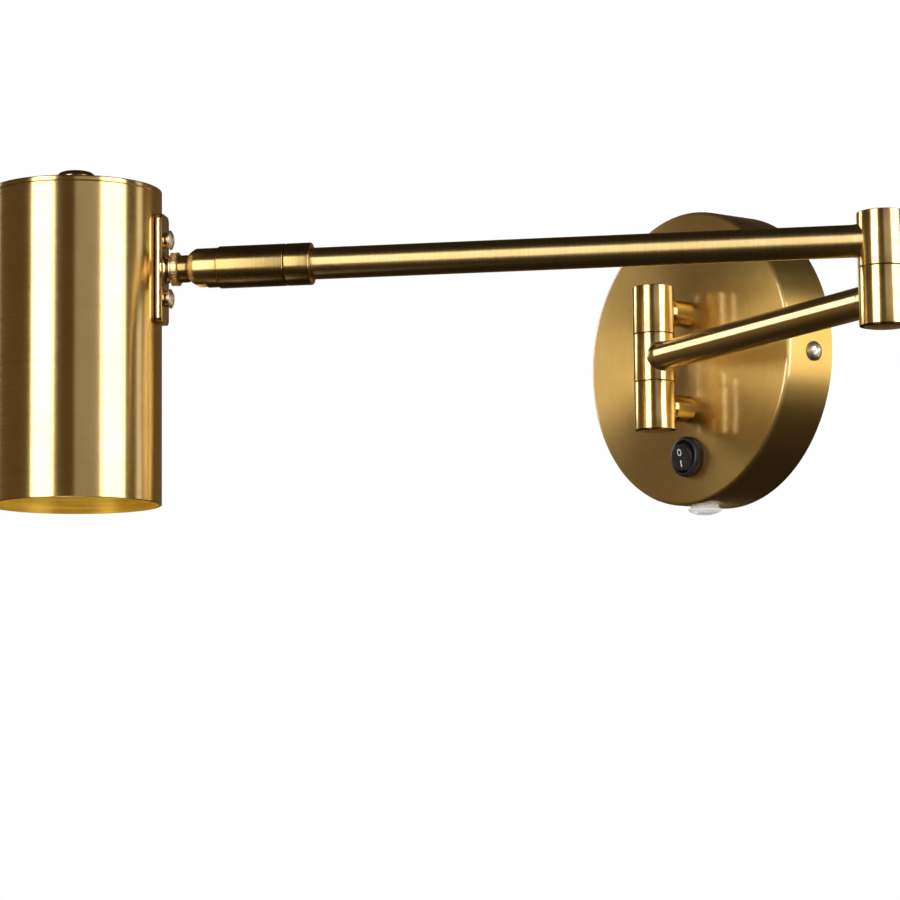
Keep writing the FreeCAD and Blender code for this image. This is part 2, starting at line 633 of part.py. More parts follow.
def cord_gland():
    """Moulded gland: threaded shank, collar shaped to the rim and a rounded flange with a small nib."""
    collar_low = RIM_BOTTOM - GLAND_COLLAR_DROP
    rim_low = collar_low - GLAND_FLANGE_RIM
    flange_low = rim_low - GLAND_FLANGE_DOME
    flange = rod(GLAND_FLANGE_DIAMETER, rim_low, collar_low, Z_AXIS, GLAND_CENTRE)
    flange = flange.fuse(domed(GLAND_FLANGE_DIAMETER, GLAND_FLANGE_DOME, -rim_low, -Z_AXIS, GLAND_CENTRE))
    head = flange.fuse(rod(GLAND_COLLAR_DIAMETER, collar_low, RIM_BOTTOM + GLAND_COLLAR_DROP, Z_AXIS,
                           GLAND_CENTRE))
    head = head.cut(rod(PLATE_DIAMETER, -PLATE_DEPTH, 0, Y_AXIS))
    nib_y = GLAND_Y - GLAND_FLANGE_DIAMETER / 2 + GLAND_NIB[1]
    nib = block((-GLAND_NIB[0] / 2, GLAND_NIB[0] / 2), (nib_y, nib_y + GLAND_NIB[1]),
                (flange_low - GLAND_NIB[2], flange_low + GLAND_NIB[2]))
    shank = rod(GLAND_THREAD_DIAMETER, collar_low, RIM_BOTTOM + GLAND_THREAD_TOP, Z_AXIS, GLAND_CENTRE)
    body = head.fuse([nib, shank])
    bore = rod(GLAND_BORE, flange_low - GLAND_NIB[2], RIM_BOTTOM + GLAND_THREAD_TOP, Z_AXIS, GLAND_CENTRE)
    return body.cut(bore).removeSplitter()


def gland_nut():
    """Flat nut inside the rim."""
    half = GLAND_NUT_WIDTH / math.sqrt(3)
    inner = PLATE_RADIUS - PLATE_WALL
    low = -math.sqrt(inner ** 2 - half ** 2) + SLIP
    nut = hexagon(GLAND_NUT_WIDTH, low, low + GLAND_NUT_HEIGHT, Z_AXIS, GLAND_CENTRE)
    return nut.cut(rod(GLAND_THREAD_DIAMETER + 2 * SLIP, low, 0, Z_AXIS, GLAND_CENTRE))


# ---- wall column ------------------------------------------------------------------------------------

def wall_knuckle(low, high, height):
    """Fixed knuckle with the hole for its standoff's spigot."""
    body = column_section(COLUMN_DIAMETER, PIVOT_DIAMETER + 2 * SLIP, low, high, WALL_AXIS)
    spigot = rod(STANDOFF_SPIGOT_DIAMETER + 2 * SLIP, COLUMN_Y, 0, Y_AXIS, Z_AXIS * height)
    return body.cut(spigot)


def wall_pivot_tube():
    """Hollow pivot through the three knuckles, open where the lead passes."""
    tube = pipe(PIVOT_DIAMETER, PIVOT_BORE, COLUMN_BOTTOM + PIVOT_INSET, COLUMN_TOP - PIVOT_INSET, Z_AXIS,
                WALL_AXIS)
    half = WINDOW_HEIGHT / 2
    feed = rod(STANDOFF_BORE, COLUMN_Y, 0, Y_AXIS, Z_AXIS * STANDOFF_HEIGHTS[0])
    window = block((-PIVOT_DIAMETER, PIVOT_DIAMETER), (COLUMN_Y - PIVOT_DIAMETER, COLUMN_Y),
                   (COLUMN_Z - half, COLUMN_Z + half))
    return tube.cut(feed).cut(window)


def wall_pivot_washers():
    """Washers between the wall column's knuckles."""
    seams = (COLUMN_Z - SECTION_HEIGHT / 2, COLUMN_Z + SECTION_HEIGHT / 2)
    return Part.makeCompound([washer(COLUMN_DIAMETER, seam, WALL_AXIS) for seam in seams])


def wall_caps():
    """Caps on the two ends of the wall column."""
    return Part.makeCompound([column_cap(COLUMN_DIAMETER, COLUMN_TOP, Z_AXIS, WALL_AXIS),
                              column_cap(COLUMN_DIAMETER, -COLUMN_BOTTOM, -Z_AXIS, WALL_AXIS)])


# ---- inner arm --------------------------------------------------------------------------------------

def inner_arm_knuckle():
    """Turning knuckle in the middle of the wall column."""
    low = COLUMN_Z - SECTION_HEIGHT / 2 + SEAM_HALF
    high = COLUMN_Z + SECTION_HEIGHT / 2 - SEAM_HALF
    body = column_section(COLUMN_DIAMETER, PIVOT_DIAMETER + 2 * SLIP, low, high, ORIGIN)
    return on_inner_arm(body.cut(tube_socket(COLUMN_Z, 0)))


def inner_arm_tube():
    """Tube from the wall column to the elbow."""
    tube = pipe(TUBE_DIAMETER, 2 * TUBE_BORE_RADIUS, TUBE_SOCKET, INNER_ARM - TUBE_SOCKET, X_AXIS,
                Z_AXIS * COLUMN_Z)
    return on_inner_arm(tube)


def inner_arm_lead():
    """Lead inside the inner tube."""
    return on_inner_arm(lead_along_tube(TUBE_SOCKET, INNER_ARM - TUBE_SOCKET, COLUMN_Z))


def elbow_lower_knuckle():
    """Elbow's lower half, fixed on the inner tube."""
    centre = X_AXIS * INNER_ARM
    body = column_section(ELBOW_DIAMETER, PIVOT_DIAMETER + 2 * SLIP, ELBOW_BOTTOM, ELBOW_SEAM - SEAM_HALF,
                          centre)
    socket = tube_socket(COLUMN_Z, 180)
    socket.translate(centre)
    return on_inner_arm(body.cut(socket))


def elbow_pivot_tube():
    """Hollow pivot fixed in the elbow's lower half."""
    tube = pipe(PIVOT_DIAMETER, PIVOT_BORE, ELBOW_BOTTOM + PIVOT_INSET, ELBOW_TOP - PIVOT_INSET, Z_AXIS)
    half = WINDOW_HEIGHT / 2
    inlet = block((-PIVOT_DIAMETER, 0), (-half, half), (COLUMN_Z - half, COLUMN_Z + half))
    outlet = block((-PIVOT_DIAMETER, 0), (-PIVOT_DIAMETER, PIVOT_DIAMETER), (OUTER_Z - half, OUTER_Z + half))
    tube = tube.cut(inlet).cut(outlet)
    tube.translate(X_AXIS * INNER_ARM)
    return on_inner_arm(tube)


# ---- outer arm --------------------------------------------------------------------------------------

def elbow_upper_knuckle():
    """Elbow's upper half, fixed on the outer tube."""
    low = ELBOW_SEAM + SEAM_HALF - OUTER_Z
    body = column_section(ELBOW_DIAMETER, PIVOT_DIAMETER + 2 * SLIP, low, ELBOW_TOP - SEAM_GAP - OUTER_Z,
                          ORIGIN)
    return on_outer_arm(body.cut(tube_socket(0, 0)))


def outer_arm_tube():
    """Tube from the elbow to the swivel."""
    return on_outer_arm(pipe(TUBE_DIAMETER, 2 * TUBE_BORE_RADIUS, TUBE_SOCKET, OUTER_TUBE_END))


def outer_arm_lead():
    """Lead inside the outer tube."""
    return on_outer_arm(lead_along_tube(TUBE_SOCKET, OUTER_TUBE_END - JOURNAL_DEPTH, 0))


def swivel_ring():
    """Collar on the end of the outer tube."""
    start = OUTER_TUBE_END - RING_LENGTH
    ring = rod(RING_DIAMETER, start, OUTER_TUBE_END)
    ring = ring.makeFillet(RING_EDGE, edges_at(ring, X_AXIS, start) + edges_at(ring, X_AXIS, OUTER_TUBE_END))
    return on_outer_arm(ring.cut(rod(TUBE_DIAMETER + 2 * SLIP, start, OUTER_TUBE_END)))


def arm_end_journal():
    """Hollow journal in the tube's end, on which the sleeve turns."""
    end = SLEEVE_START + SLEEVE_BACK + SWIVEL_GAP + JOURNAL_NUT_LENGTH + JOURNAL_END
    return on_outer_arm(pipe(2 * JOURNAL_RADIUS, JOURNAL_BORE, OUTER_TUBE_END - JOURNAL_DEPTH, end))


def journal_nut():
    """Round nut that keeps the sleeve on its journal."""
    start = SLEEVE_START + SLEEVE_BACK + SWIVEL_GAP
    bore = 2 * (JOURNAL_RADIUS + SLIP)
    return on_outer_arm(pipe(JOURNAL_NUT_DIAMETER, bore, start, start + JOURNAL_NUT_LENGTH))


# ---- swivel -----------------------------------------------------------------------------------------

BALL_CENTRE = X_AXIS * BALL_X
TAIL_END = NOSE_SHOULDER - NOSE_TAIL


def swivel_sleeve():
    """Sleeve that turns on the journal and holds the nose."""
    sleeve = rod(RING_DIAMETER, SLEEVE_START, NOSE_SHOULDER)
    edges = edges_at(sleeve, X_AXIS, SLEEVE_START) + edges_at(sleeve, X_AXIS, NOSE_SHOULDER)
    sleeve = sleeve.makeFillet(RING_EDGE, edges)
    sleeve = sleeve.cut(rod(2 * SLEEVE_BORE_RADIUS, SLEEVE_START + SLEEVE_BACK, NOSE_SHOULDER))
    return on_outer_arm(sleeve.cut(rod(2 * (JOURNAL_RADIUS + SLIP), SLEEVE_START, NOSE_SHOULDER)))


def ball_space(radius):
    """Sphere about the ball's centre, its poles on the arm's axis."""
    return Part.makeSphere(radius, BALL_CENTRE, X_AXIS)


def slot_space():
    """Space swept by the stem's slot, from straight ahead down to the tilt's end."""
    reach = 2 * DOME_RADIUS
    wedge = Part.makeCylinder(reach, SLOT_WIDTH, BALL_CENTRE - Y_AXIS * (SLOT_WIDTH / 2), Y_AXIS, TILT_RANGE)
    first = Part.makeCylinder(SLOT_WIDTH / 2, reach, BALL_CENTRE, X_AXIS)
    tilt = math.radians(TILT_RANGE)
    last = Part.makeCylinder(SLOT_WIDTH / 2, reach, BALL_CENTRE,
                             FreeCAD.Vector(math.cos(tilt), 0, -math.sin(tilt)))
    turned = align_wedge(wedge)
    return turned.fuse([first, last])


def align_wedge(wedge):
    """Turns a wedge of a cylinder about Y so that it spans from +X down towards -Z."""
    centre = wedge.CenterOfMass - BALL_CENTRE
    angle = math.degrees(math.atan2(-centre.z, centre.x))
    wedge.rotate(BALL_CENTRE, Y_AXIS, TILT_RANGE / 2 - angle)
    return wedge


def socket_nose():
    """Domed nose with the ball's socket, the stem's slot and a threaded tail."""
    barrel = rod(NOSE_DIAMETER, NOSE_SHOULDER, BALL_X)
    dome = rod(NOSE_DIAMETER, BALL_X, BALL_X + DOME_RADIUS).common(ball_space(DOME_RADIUS))
    tail = rod(2 * (SLEEVE_BORE_RADIUS - SLIP), TAIL_END, NOSE_SHOULDER)
    body = barrel.fuse([dome, tail])
    cavity = rod(2 * SOCKET_RADIUS, TAIL_END, BALL_X).fuse(ball_space(SOCKET_RADIUS))
    return on_outer_arm(body.cut(cavity).cut(slot_space()).removeSplitter())


def ball_seat():
    """Moulded seat that presses on the ball."""
    end = BALL_X - SEAT_FRONT
    seat = rod(2 * (SOCKET_RADIUS - SLIP), end - SEAT_LENGTH, end)
    seat = seat.cut(ball_space(SOCKET_RADIUS))
    return on_outer_arm(seat.cut(rod(SEAT_BORE, end - SEAT_LENGTH, end)))


def seat_spring_washers():
    """Two coned spring washers behind the seat, tip to tip."""
    high = BALL_X - SEAT_FRONT - SEAT_LENGTH
    washers = []
    for sign in (1, -1):
        rim = high if sign == 1 else high - 2 * (SPRING_SHEET + SPRING_CONE)
        points = [(rim, SPRING_DIAMETER / 2), (rim - sign * SPRING_SHEET, SPRING_DIAMETER / 2),
                  (rim - sign * (SPRING_SHEET + SPRING_CONE), SPRING_BORE / 2),
                  (rim - sign * SPRING_CONE, SPRING_BORE / 2)]
        corners = [FreeCAD.Vector(x, 0, r) for x, r in points]
        profile = Part.Face(Part.makePolygon(corners + corners[:1]))
        washers.append(profile.revolve(ORIGIN, X_AXIS, 360))
    return on_outer_arm(Part.makeCompound(washers))


def seat_plug():
    """Threaded ring behind the spring washers."""
    high = BALL_X - SEAT_FRONT - SEAT_LENGTH - 2 * (SPRING_SHEET + SPRING_CONE)
    return on_outer_arm(pipe(2 * (SOCKET_RADIUS - SLIP), SEAT_BORE, high - PLUG_LENGTH, high))


def swivel_ball():
    """Ball with the stem's bore through it."""
    ball = ball_space(BALL_RADIUS)
    return on_outer_arm(ball.cut(rod(STEM_DIAMETER + 2 * SLIP, BALL_X - BALL_RADIUS, BALL_X + BALL_RADIUS)))


# ---- head -------------------------------------------------------------------------------------------

def swivel_stem():
    """Hollow stem: a shaft in the ball, a neck hollowed to clear the dome, and a thread."""
    neck_hollow = ball_space(DOME_RADIUS + NECK_CLEARANCE)
    neck = rod(NECK_DIAMETER, BALL_X + SEAT_FRONT, BALL_X + NECK_END).cut(neck_hollow)
    shaft = rod(STEM_DIAMETER, BALL_X - STEM_BACK, BALL_X + NECK_END)
    end = SHADE_FACE + STEM_THREAD_END
    thread = rod(STEM_THREAD_DIAMETER, BALL_X + NECK_END, end)
    body = shaft.fuse([neck, thread])
    return on_outer_arm(body.cut(rod(STEM_BORE, BALL_X - STEM_BACK, end)).removeSplitter())


def lock_nut():
    """Notched round nut on the stem's thread, against the boss."""
    nut = pipe(LOCK_NUT_DIAMETER, STEM_THREAD_DIAMETER + 2 * SLIP, LOCK_NUT_FACE, BOSS_FACE)
    notches = []
    for step in range(LOCK_NUT_NOTCHES):
        notch = rod(2 * LOCK_NUT_NOTCH, LOCK_NUT_FACE, BOSS_FACE, X_AXIS, Z_AXIS * (LOCK_NUT_DIAMETER / 2))
        notch.rotate(ORIGIN, X_AXIS, step * 360 / LOCK_NUT_NOTCHES)
        notches.append(notch)
    return on_outer_arm(nut.cut(notches))


def bracket_plate():
    """Flat bar on the shade's side with a flared boss for the stem."""
    half_width = BRACKET_WIDTH / 2
    half_height = BRACKET_HEIGHT / 2
    bar = block((BRACKET_FACE, SHADE_FACE), (-half_width, half_width), (-half_height, half_height))
    corners = [e for e in bar.Edges if abs(e.Length - BRACKET_THICKNESS) < 1e-6]
    bar = bar.makeFillet(BRACKET_CORNER, corners)
    boss = cone(BOSS_TIP_DIAMETER, BOSS_FOOT_DIAMETER, BOSS_FACE, BRACKET_FACE)
    body = bar.fuse(boss).cut(rod(STEM_THREAD_DIAMETER + 2 * SLIP, BOSS_FACE, SHADE_FACE))
    for centre in bracket_screw_centres():
        body = body.cut(rod(BRACKET_SCREW_DIAMETER + 2 * SLIP, BRACKET_FACE, SHADE_FACE, X_AXIS, centre))
    return on_outer_arm(body.removeSplitter())


def bracket_screw_centres():
    """Points on the axes of the bracket's two screws."""
    return [Z_AXIS * (side * BRACKET_SCREW_SPACING / 2) for side in (1, -1)]


def bracket_collars():
    """Spacing collars under the bracket's screw heads."""
    start = BRACKET_FACE - BRACKET_COLLAR_LENGTH
    return on_outer_arm(Part.makeCompound([
        pipe(BRACKET_COLLAR_DIAMETER, BRACKET_SCREW_DIAMETER + 2 * SLIP, start, BRACKET_FACE, X_AXIS, centre)
        for centre in bracket_screw_centres()]))


def bracket_nut_face():
    """Where a flat nut meets the shade's curved inner wall."""
    half = BRACKET_NUT_WIDTH / math.sqrt(3)
    return OUTER_ARM - math.sqrt((SHADE_RADIUS - SHADE_WALL) ** 2 - half ** 2) + SLIP


def bracket_screws():
    """The two screws through collar, bar and shade."""
    seat = BRACKET_FACE - BRACKET_COLLAR_LENGTH
    length = bracket_nut_face() + BRACKET_NUT_HEIGHT + BRACKET_SCREW_PAST_NUT - seat
    return on_outer_arm(Part.makeCompound([
        pan_screw(BRACKET_SCREW_HEAD_DIAMETER, BRACKET_SCREW_HEAD_HEIGHT, BRACKET_SCREW_DIAMETER, length,
                  -seat, -X_AXIS, centre) for centre in bracket_screw_centres()]))


def bracket_nuts():
    """Nuts inside the shade."""
    start = bracket_nut_face()
    nuts = []
    for centre in bracket_screw_centres():
        nut = hexagon(BRACKET_NUT_WIDTH, start, start + BRACKET_NUT_HEIGHT, X_AXIS, centre)
        hole = rod(BRACKET_SCREW_DIAMETER + 2 * SLIP, start, OUTER_ARM, X_AXIS, centre)
        nuts.append(nut.cut(hole))
    return on_outer_arm(Part.makeCompound(nuts))


SHADE_AXIS = X_AXIS * OUTER_ARM


def shade_tube():
    """Open-ended tube with holes for the stem and the bracket's screws."""
    inner = SHADE_DIAMETER - 2 * SHADE_WALL
    tube = pipe(SHADE_DIAMETER, inner, SHADE_BOTTOM, SHADE_SEAM, Z_AXIS, SHADE_AXIS)
    for centre in bracket_screw_centres():
        tube = tube.cut(rod(BRACKET_SCREW_DIAMETER + 2 * SLIP, SHADE_FACE, OUTER_ARM, X_AXIS, centre))
    return on_outer_arm(tube.cut(rod(STEM_THREAD_DIAMETER + 2 * SLIP, SHADE_FACE, OUTER_ARM)))


def shade_top_cap():
    """Turned disc that closes the shade's top, with a skirt inside the tube."""
    cap = rod(SHADE_DIAMETER, SHADE_SEAM, SHADE_TOP, Z_AXIS, SHADE_AXIS)
    cap = cap.makeFillet(SHADE_CAP_EDGE, edges_at(cap, Z_AXIS, SHADE_TOP))
    skirt_diameter = SHADE_DIAMETER - 2 * SHADE_WALL - 2 * SLIP
    skirt = pipe(skirt_diameter, skirt_diameter - 2 * SHADE_WALL, SHADE_SEAM - SHADE_CAP_SKIRT, SHADE_SEAM,
                 Z_AXIS, SHADE_AXIS)
    cap = cap.fuse(skirt)
    hole = rod(NIPPLE_DIAMETER + 2 * SLIP, SHADE_SEAM, SHADE_TOP, Z_AXIS, SHADE_AXIS)
    return on_outer_arm(cap.cut(hole).removeSplitter())


def top_knob():
    """Round-edged cap nut over the nipple's end."""
    top = SHADE_TOP + KNOB_HEIGHT
    knob = rod(KNOB_DIAMETER, SHADE_TOP, top, Z_AXIS, SHADE_AXIS)
    knob = knob.makeFillet(KNOB_EDGE, edges_at(knob, Z_AXIS, top))
    bore = rod(NIPPLE_DIAMETER + 2 * SLIP, SHADE_TOP, top - KNOB_BLIND, Z_AXIS, SHADE_AXIS)
    return on_outer_arm(knob.cut(bore))


def holder_nipple():
    """Threaded nipple from the knob down into the holder's top."""
    top = SHADE_TOP + KNOB_HEIGHT - KNOB_BLIND - SWIVEL_GAP
    return on_outer_arm(pipe(NIPPLE_DIAMETER, NIPPLE_BORE, HOLDER_TOP - NIPPLE_INTO_HOLDER, top, Z_AXIS,
                             SHADE_AXIS))


def nipple_nut():
    """Nut under the shade's cap."""
    nut = hexagon(NIPPLE_NUT_WIDTH, HOLDER_TOP, SHADE_SEAM, Z_AXIS, SHADE_AXIS)
    return on_outer_arm(nut.cut(rod(NIPPLE_DIAMETER + 2 * SLIP, HOLDER_TOP, SHADE_SEAM, Z_AXIS, SHADE_AXIS)))


def lampholder_shell():
    """Moulded sleeve of the lamp holder, open below, with a side hole for the lead."""
    bottom = HOLDER_TOP - HOLDER_LENGTH
    shell = rod(HOLDER_DIAMETER, bottom, HOLDER_TOP, Z_AXIS, SHADE_AXIS)
    shell = shell.cut(rod(HOLDER_DIAMETER - 2 * HOLDER_WALL, bottom, HOLDER_TOP - HOLDER_TOP_WALL, Z_AXIS,
                          SHADE_AXIS))
    shell = shell.cut(rod(NIPPLE_DIAMETER + 2 * SLIP, bottom, HOLDER_TOP, Z_AXIS, SHADE_AXIS))
    return on_outer_arm(shell.cut(rod(HEAD_LEAD_DIAMETER + 2 * SOFT_GAP, OUTER_ARM - HOLDER_RADIUS,
                                      OUTER_ARM - HOLDER_RADIUS + HOLDER_WALL * 2)))


def lampholder_insert():
    """Insulating core that carries the contacts."""
    top = INSERT_BOTTOM + INSERT_LENGTH
    diameter = HOLDER_DIAMETER - 2 * HOLDER_WALL - 2 * SLIP
    core = rod(diameter, INSERT_BOTTOM, top, Z_AXIS, SHADE_AXIS)
    return on_outer_arm(core)


def contact_shell():
    """Screw shell that takes the bulb's base."""
    outer = CONTACT_BORE + 2 * CONTACT_WALL
    return on_outer_arm(pipe(outer, CONTACT_BORE, INSERT_BOTTOM - CONTACT_LENGTH, INSERT_BOTTOM, Z_AXIS,
                             SHADE_AXIS))


def bulb_base():
    """Metal screw base of the bulb, its tip on the holder's core."""
    low = INSERT_BOTTOM - BULB_BASE_LENGTH
    return on_outer_arm(rod(BULB_BASE_DIAMETER, low, INSERT_BOTTOM, Z_AXIS, SHADE_AXIS))


def bulb_form(wall):
    """Globe and tapered neck of the bulb, smaller all round by the given wall."""
    top = INSERT_BOTTOM - BULB_BASE_LENGTH
    centre_z = INSERT_BOTTOM - BULB_LENGTH + BULB_DIAMETER / 2
    radius = BULB_DIAMETER / 2
    slope = math.radians(BULB_NECK_SLOPE)
    globe = Part.makeSphere(radius - wall, SHADE_AXIS + Z_AXIS * centre_z)
    foot_z = centre_z + radius * math.sin(slope)
    neck = cone(2 * (radius * math.cos(slope) - wall), BULB_NECK_DIAMETER - 2 * wall, foot_z, top, Z_AXIS,
                SHADE_AXIS)
    return globe.fuse(neck)


def bulb_globe():
    """Hollow round glass of the bulb, on a tapered neck."""
    return on_outer_arm(bulb_form(0).cut(bulb_form(BULB_WALL)).removeSplitter())


def head_lead():
    """Lead from the stem's bore to the holder's side."""
    start = SHADE_FACE + STEM_THREAD_END
    return on_outer_arm(rod(HEAD_LEAD_DIAMETER, start, OUTER_ARM - HOLDER_RADIUS + HOLDER_WALL))


def nodes():
    """Every sub-part by name."""
    seam = SECTION_HEIGHT / 2 + SEAM_HALF
    return {
        "plate_face": plate_face(),
        "plate_rim": plate_rim(),
        "plate_rim_foot": plate_rim_foot(),
        "stiffener_plate": stiffener_plate(),
        "mounting_bracket": mounting_bracket(),
        "side_screws": side_screws(),
        "earth_screw": earth_screw(),
        "terminal_block": terminal_block(),
        "terminal_screws": terminal_screws(),
        "plate_leads": plate_leads(),
        "standoff_upper": standoff(STANDOFF_HEIGHTS[0]),
        "standoff_lower": standoff(STANDOFF_HEIGHTS[1]),
        "standoff_nuts": standoff_nuts(),
        "switch_housing": switch_housing(),
        "switch_rocker": switch_rocker(),
        "switch_terminals": switch_terminals(),
        "cord_gland": cord_gland(),
        "gland_nut": gland_nut(),
        "wall_knuckle_upper": wall_knuckle(COLUMN_Z + seam, COLUMN_TOP, STANDOFF_HEIGHTS[0]),
        "wall_knuckle_lower": wall_knuckle(COLUMN_BOTTOM, COLUMN_Z - seam, STANDOFF_HEIGHTS[1]),
        "wall_pivot_tube": wall_pivot_tube(),
        "wall_pivot_washers": wall_pivot_washers(),
        "wall_caps": wall_caps(),
        "inner_arm_knuckle": inner_arm_knuckle(),
        "inner_arm_tube": inner_arm_tube(),
        "inner_arm_lead": inner_arm_lead(),
        "elbow_lower_knuckle": elbow_lower_knuckle(),
        "elbow_pivot_tube": elbow_pivot_tube(),
        "elbow_washer": washer(ELBOW_DIAMETER, ELBOW_SEAM, ELBOW_AXIS),
        "elbow_cap_bottom": column_cap(ELBOW_DIAMETER, -ELBOW_BOTTOM, -Z_AXIS, ELBOW_AXIS),
        "elbow_cap_top": column_cap(ELBOW_DIAMETER, ELBOW_TOP, Z_AXIS, ELBOW_AXIS),
        "elbow_upper_knuckle": elbow_upper_knuckle(),
        "outer_arm_tube": outer_arm_tube(),
        "outer_arm_lead": outer_arm_lead(),
        "swivel_ring": swivel_ring(),
        "arm_end_journal": arm_end_journal(),
        "journal_nut": journal_nut(),
        "swivel_sleeve": swivel_sleeve(),
        "socket_nose": socket_nose(),
        "ball_seat": ball_seat(),
        "seat_spring_washers": seat_spring_washers(),
        "seat_plug": seat_plug(),
        "swivel_ball": swivel_ball(),
        "swivel_stem": swivel_stem(),
        "lock_nut": lock_nut(),
        "bracket_plate": bracket_plate(),
        "bracket_collars": bracket_collars(),
        "bracket_screws": bracket_screws(),
        "bracket_nuts": bracket_nuts(),
        "shade_tube": shade_tube(),
        "shade_top_cap": shade_top_cap(),
        "top_knob": top_knob(),
        "holder_nipple": holder_nipple(),
        "nipple_nut": nipple_nut(),
        "lampholder_shell": lampholder_shell(),
        "lampholder_insert": lampholder_insert(),
        "contact_shell": contact_shell(),
        "bulb_base": bulb_base(),
        "bulb_globe": bulb_globe(),
        "head_lead": head_lead(),
    }


def main():
    """Writes one STEP file per sub-part."""
    os.makedirs("parts", exist_ok=True)
    for name, shape in nodes().items():
        shape.exportStep("parts/" + name + ".step")
        solids = len(shape.Solids)
        print("%-22s solids %d  valid %s  volume %10.2f" % (name, solids, shape.isValid(), shape.Volume))


main()
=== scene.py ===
"""Brass wall lamp: two swinging tubes from a round wall plate to a tubular shade on a slotted ball swivel.

Pieces are modelled in millimetres and become metres when they are put in their place.  The grain of the
finishes and the studio are in metres.
"""
import math

import bpy
from mathutils import Matrix, Vector


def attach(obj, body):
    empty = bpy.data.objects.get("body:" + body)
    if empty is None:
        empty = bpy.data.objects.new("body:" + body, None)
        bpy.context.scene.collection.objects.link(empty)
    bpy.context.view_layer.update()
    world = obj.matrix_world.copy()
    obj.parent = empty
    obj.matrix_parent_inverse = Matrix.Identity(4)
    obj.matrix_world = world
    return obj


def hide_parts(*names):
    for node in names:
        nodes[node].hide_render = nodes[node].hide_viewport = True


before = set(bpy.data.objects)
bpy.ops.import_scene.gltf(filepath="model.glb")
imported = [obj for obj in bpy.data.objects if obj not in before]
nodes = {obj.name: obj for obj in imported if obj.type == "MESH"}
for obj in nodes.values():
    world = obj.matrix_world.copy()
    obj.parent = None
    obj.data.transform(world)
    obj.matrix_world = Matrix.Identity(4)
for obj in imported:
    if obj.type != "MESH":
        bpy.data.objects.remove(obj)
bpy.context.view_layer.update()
MM = 0.001

# ---- sizes and places --------------------------------------------------------------------------------

UP = Vector((0, 0, 1))
OUT = Vector((0, -1, 0))
RIGHT = Vector((1, 0, 0))

PLATE_RADIUS = 61.0
PLATE_DEPTH = 24.5
PLATE_WALL = 1.2
PLATE_CORNER = 1.8
SIDE_SCREW_OUT = 10.5
SIDE_SCREW_DROP = 3.4
SIDE_SCREW_RADIUS = 4.0
SIDE_SCREW_HEIGHT = 2.6
STANDOFF_HEIGHTS = {"upper": 18.25, "lower": -21.25}
STANDOFF_RADIUS = 5.5
STANDOFF_LENGTH = 12.5

SWITCH = Vector((0, -PLATE_DEPTH, -41))
BEZEL_RADIUS = 8.4
BEZEL_ROUND = 1.5
BARREL_RADIUS = 7.7
BARREL_LENGTH = 12.5
WELL_RADIUS = 6.7
WELL_DEPTH = 6.0
ROCKER_PIVOT = SWITCH + OUT * 0.3
ROCKER_LEAN = math.radians(12)
MARK_SHIFT = 0.7
GLAND = Vector((0, -15.5, -PLATE_RADIUS))
GLAND_LENGTH = 11.0
GLAND_BORE = 2.5
CLIP_SIDE = Vector((0.61, 0.79, 0))
CLIP_TURN = 0.914

COLUMN = Vector((0, -42, 0))
COLUMN_RADIUS = 8.5
COLUMN_TOP = 28.125
COLUMN_UPPER_SEAM = (8.3, 8.5)
COLUMN_LOWER_SEAM = (-11.5, -11.3)
COLUMN_BOTTOM = -31.125
COLUMN_CAP_RADIUS = 7.1
ELBOW_RADIUS = 9.25
ELBOW_TOP = 29.7
ELBOW_SEAM = (9.15, 9.35)
ELBOW_BOTTOM = -12.25
ELBOW_CAP_RADIUS = 7.85
ELBOW_CAP_FACE = 29.75

TUBE_RADIUS = 6.0
TUBE_START = 5.5
INNER_HEIGHT = -1.5
INNER_LENGTH = 165
INNER_TUBE_END = 159.0
INNER_TURN = math.radians(-10.74)
INNER = Vector((math.cos(INNER_TURN), math.sin(INNER_TURN), 0))
ELBOW = COLUMN + INNER * INNER_LENGTH
OUTER_HEIGHT = 19.5
OUTER_LENGTH = 305
OUTER_TUBE_END = 223.9
OUTER_TURN = math.radians(222.63)
OUTER = Vector((math.cos(OUTER_TURN), math.sin(OUTER_TURN), 0))
ARM = ELBOW + UP * OUTER_HEIGHT

# along the outer arm, from the elbow's axis
RING_START = 212.7
RING_END = 222.35
SLEEVE_START = 222.65
SLEEVE_END = 248.5
BALL = 254.0
STEM_END = 274.0
NUT_BACK = 264.05
NUT_FRONT = 267.05
KNURL_BACK = 264.4
KNURL_FRONT = 266.0
COLLAR_BACK = 268.05
COLLAR_FRONT = 269.8
BAR_MIDDLE = 271.0

SWIVEL_RADIUS = 8.0
NOSE_RADIUS = 8.1
NOSE_BACK_RADIUS = 7.5
SOCKET_RADIUS = 6.35
BALL_RADIUS = 6.25
STEM_HOLLOW_RADIUS = 8.4
NECK_RADIUS = 5.2
STEM_RADIUS = 4.0
NUT_RADIUS = 6.4
KNURL_PITCH = 5
BAR_SIZE = (42.0, 11.0, 2.5)
BRACKET_SCREW_SPREAD = 11.25
BRACKET_SCREW_RADIUS = 3.75
BRACKET_SCREW_HEIGHT = 1.7

SHADE = ARM + OUTER * OUTER_LENGTH
SHADE_RADIUS = 32.75
SHADE_INSIDE = 31.75
SHADE_FOOT = -88.9
SHADE_SEAM = 29.6
SHADE_TOP = 31.6
SEAM_GAP = 0.05
KNOB_RADIUS = 7.5
KNOB_ROUND = 2.6
KNOB_HEIGHT = 7.5


# ---- modelling ---------------------------------------------------------------------------------------

def nothing_selected():
    """Leaves object mode with nothing selected."""
    if bpy.context.object and bpy.context.object.mode != "OBJECT":
        bpy.ops.object.mode_set(mode="OBJECT")
    bpy.ops.object.select_all(action="DESELECT")


def only(obj):
    """Selects one piece alone and makes it the active one."""
    nothing_selected()
    obj.select_set(True)
    bpy.context.view_layer.objects.active = obj


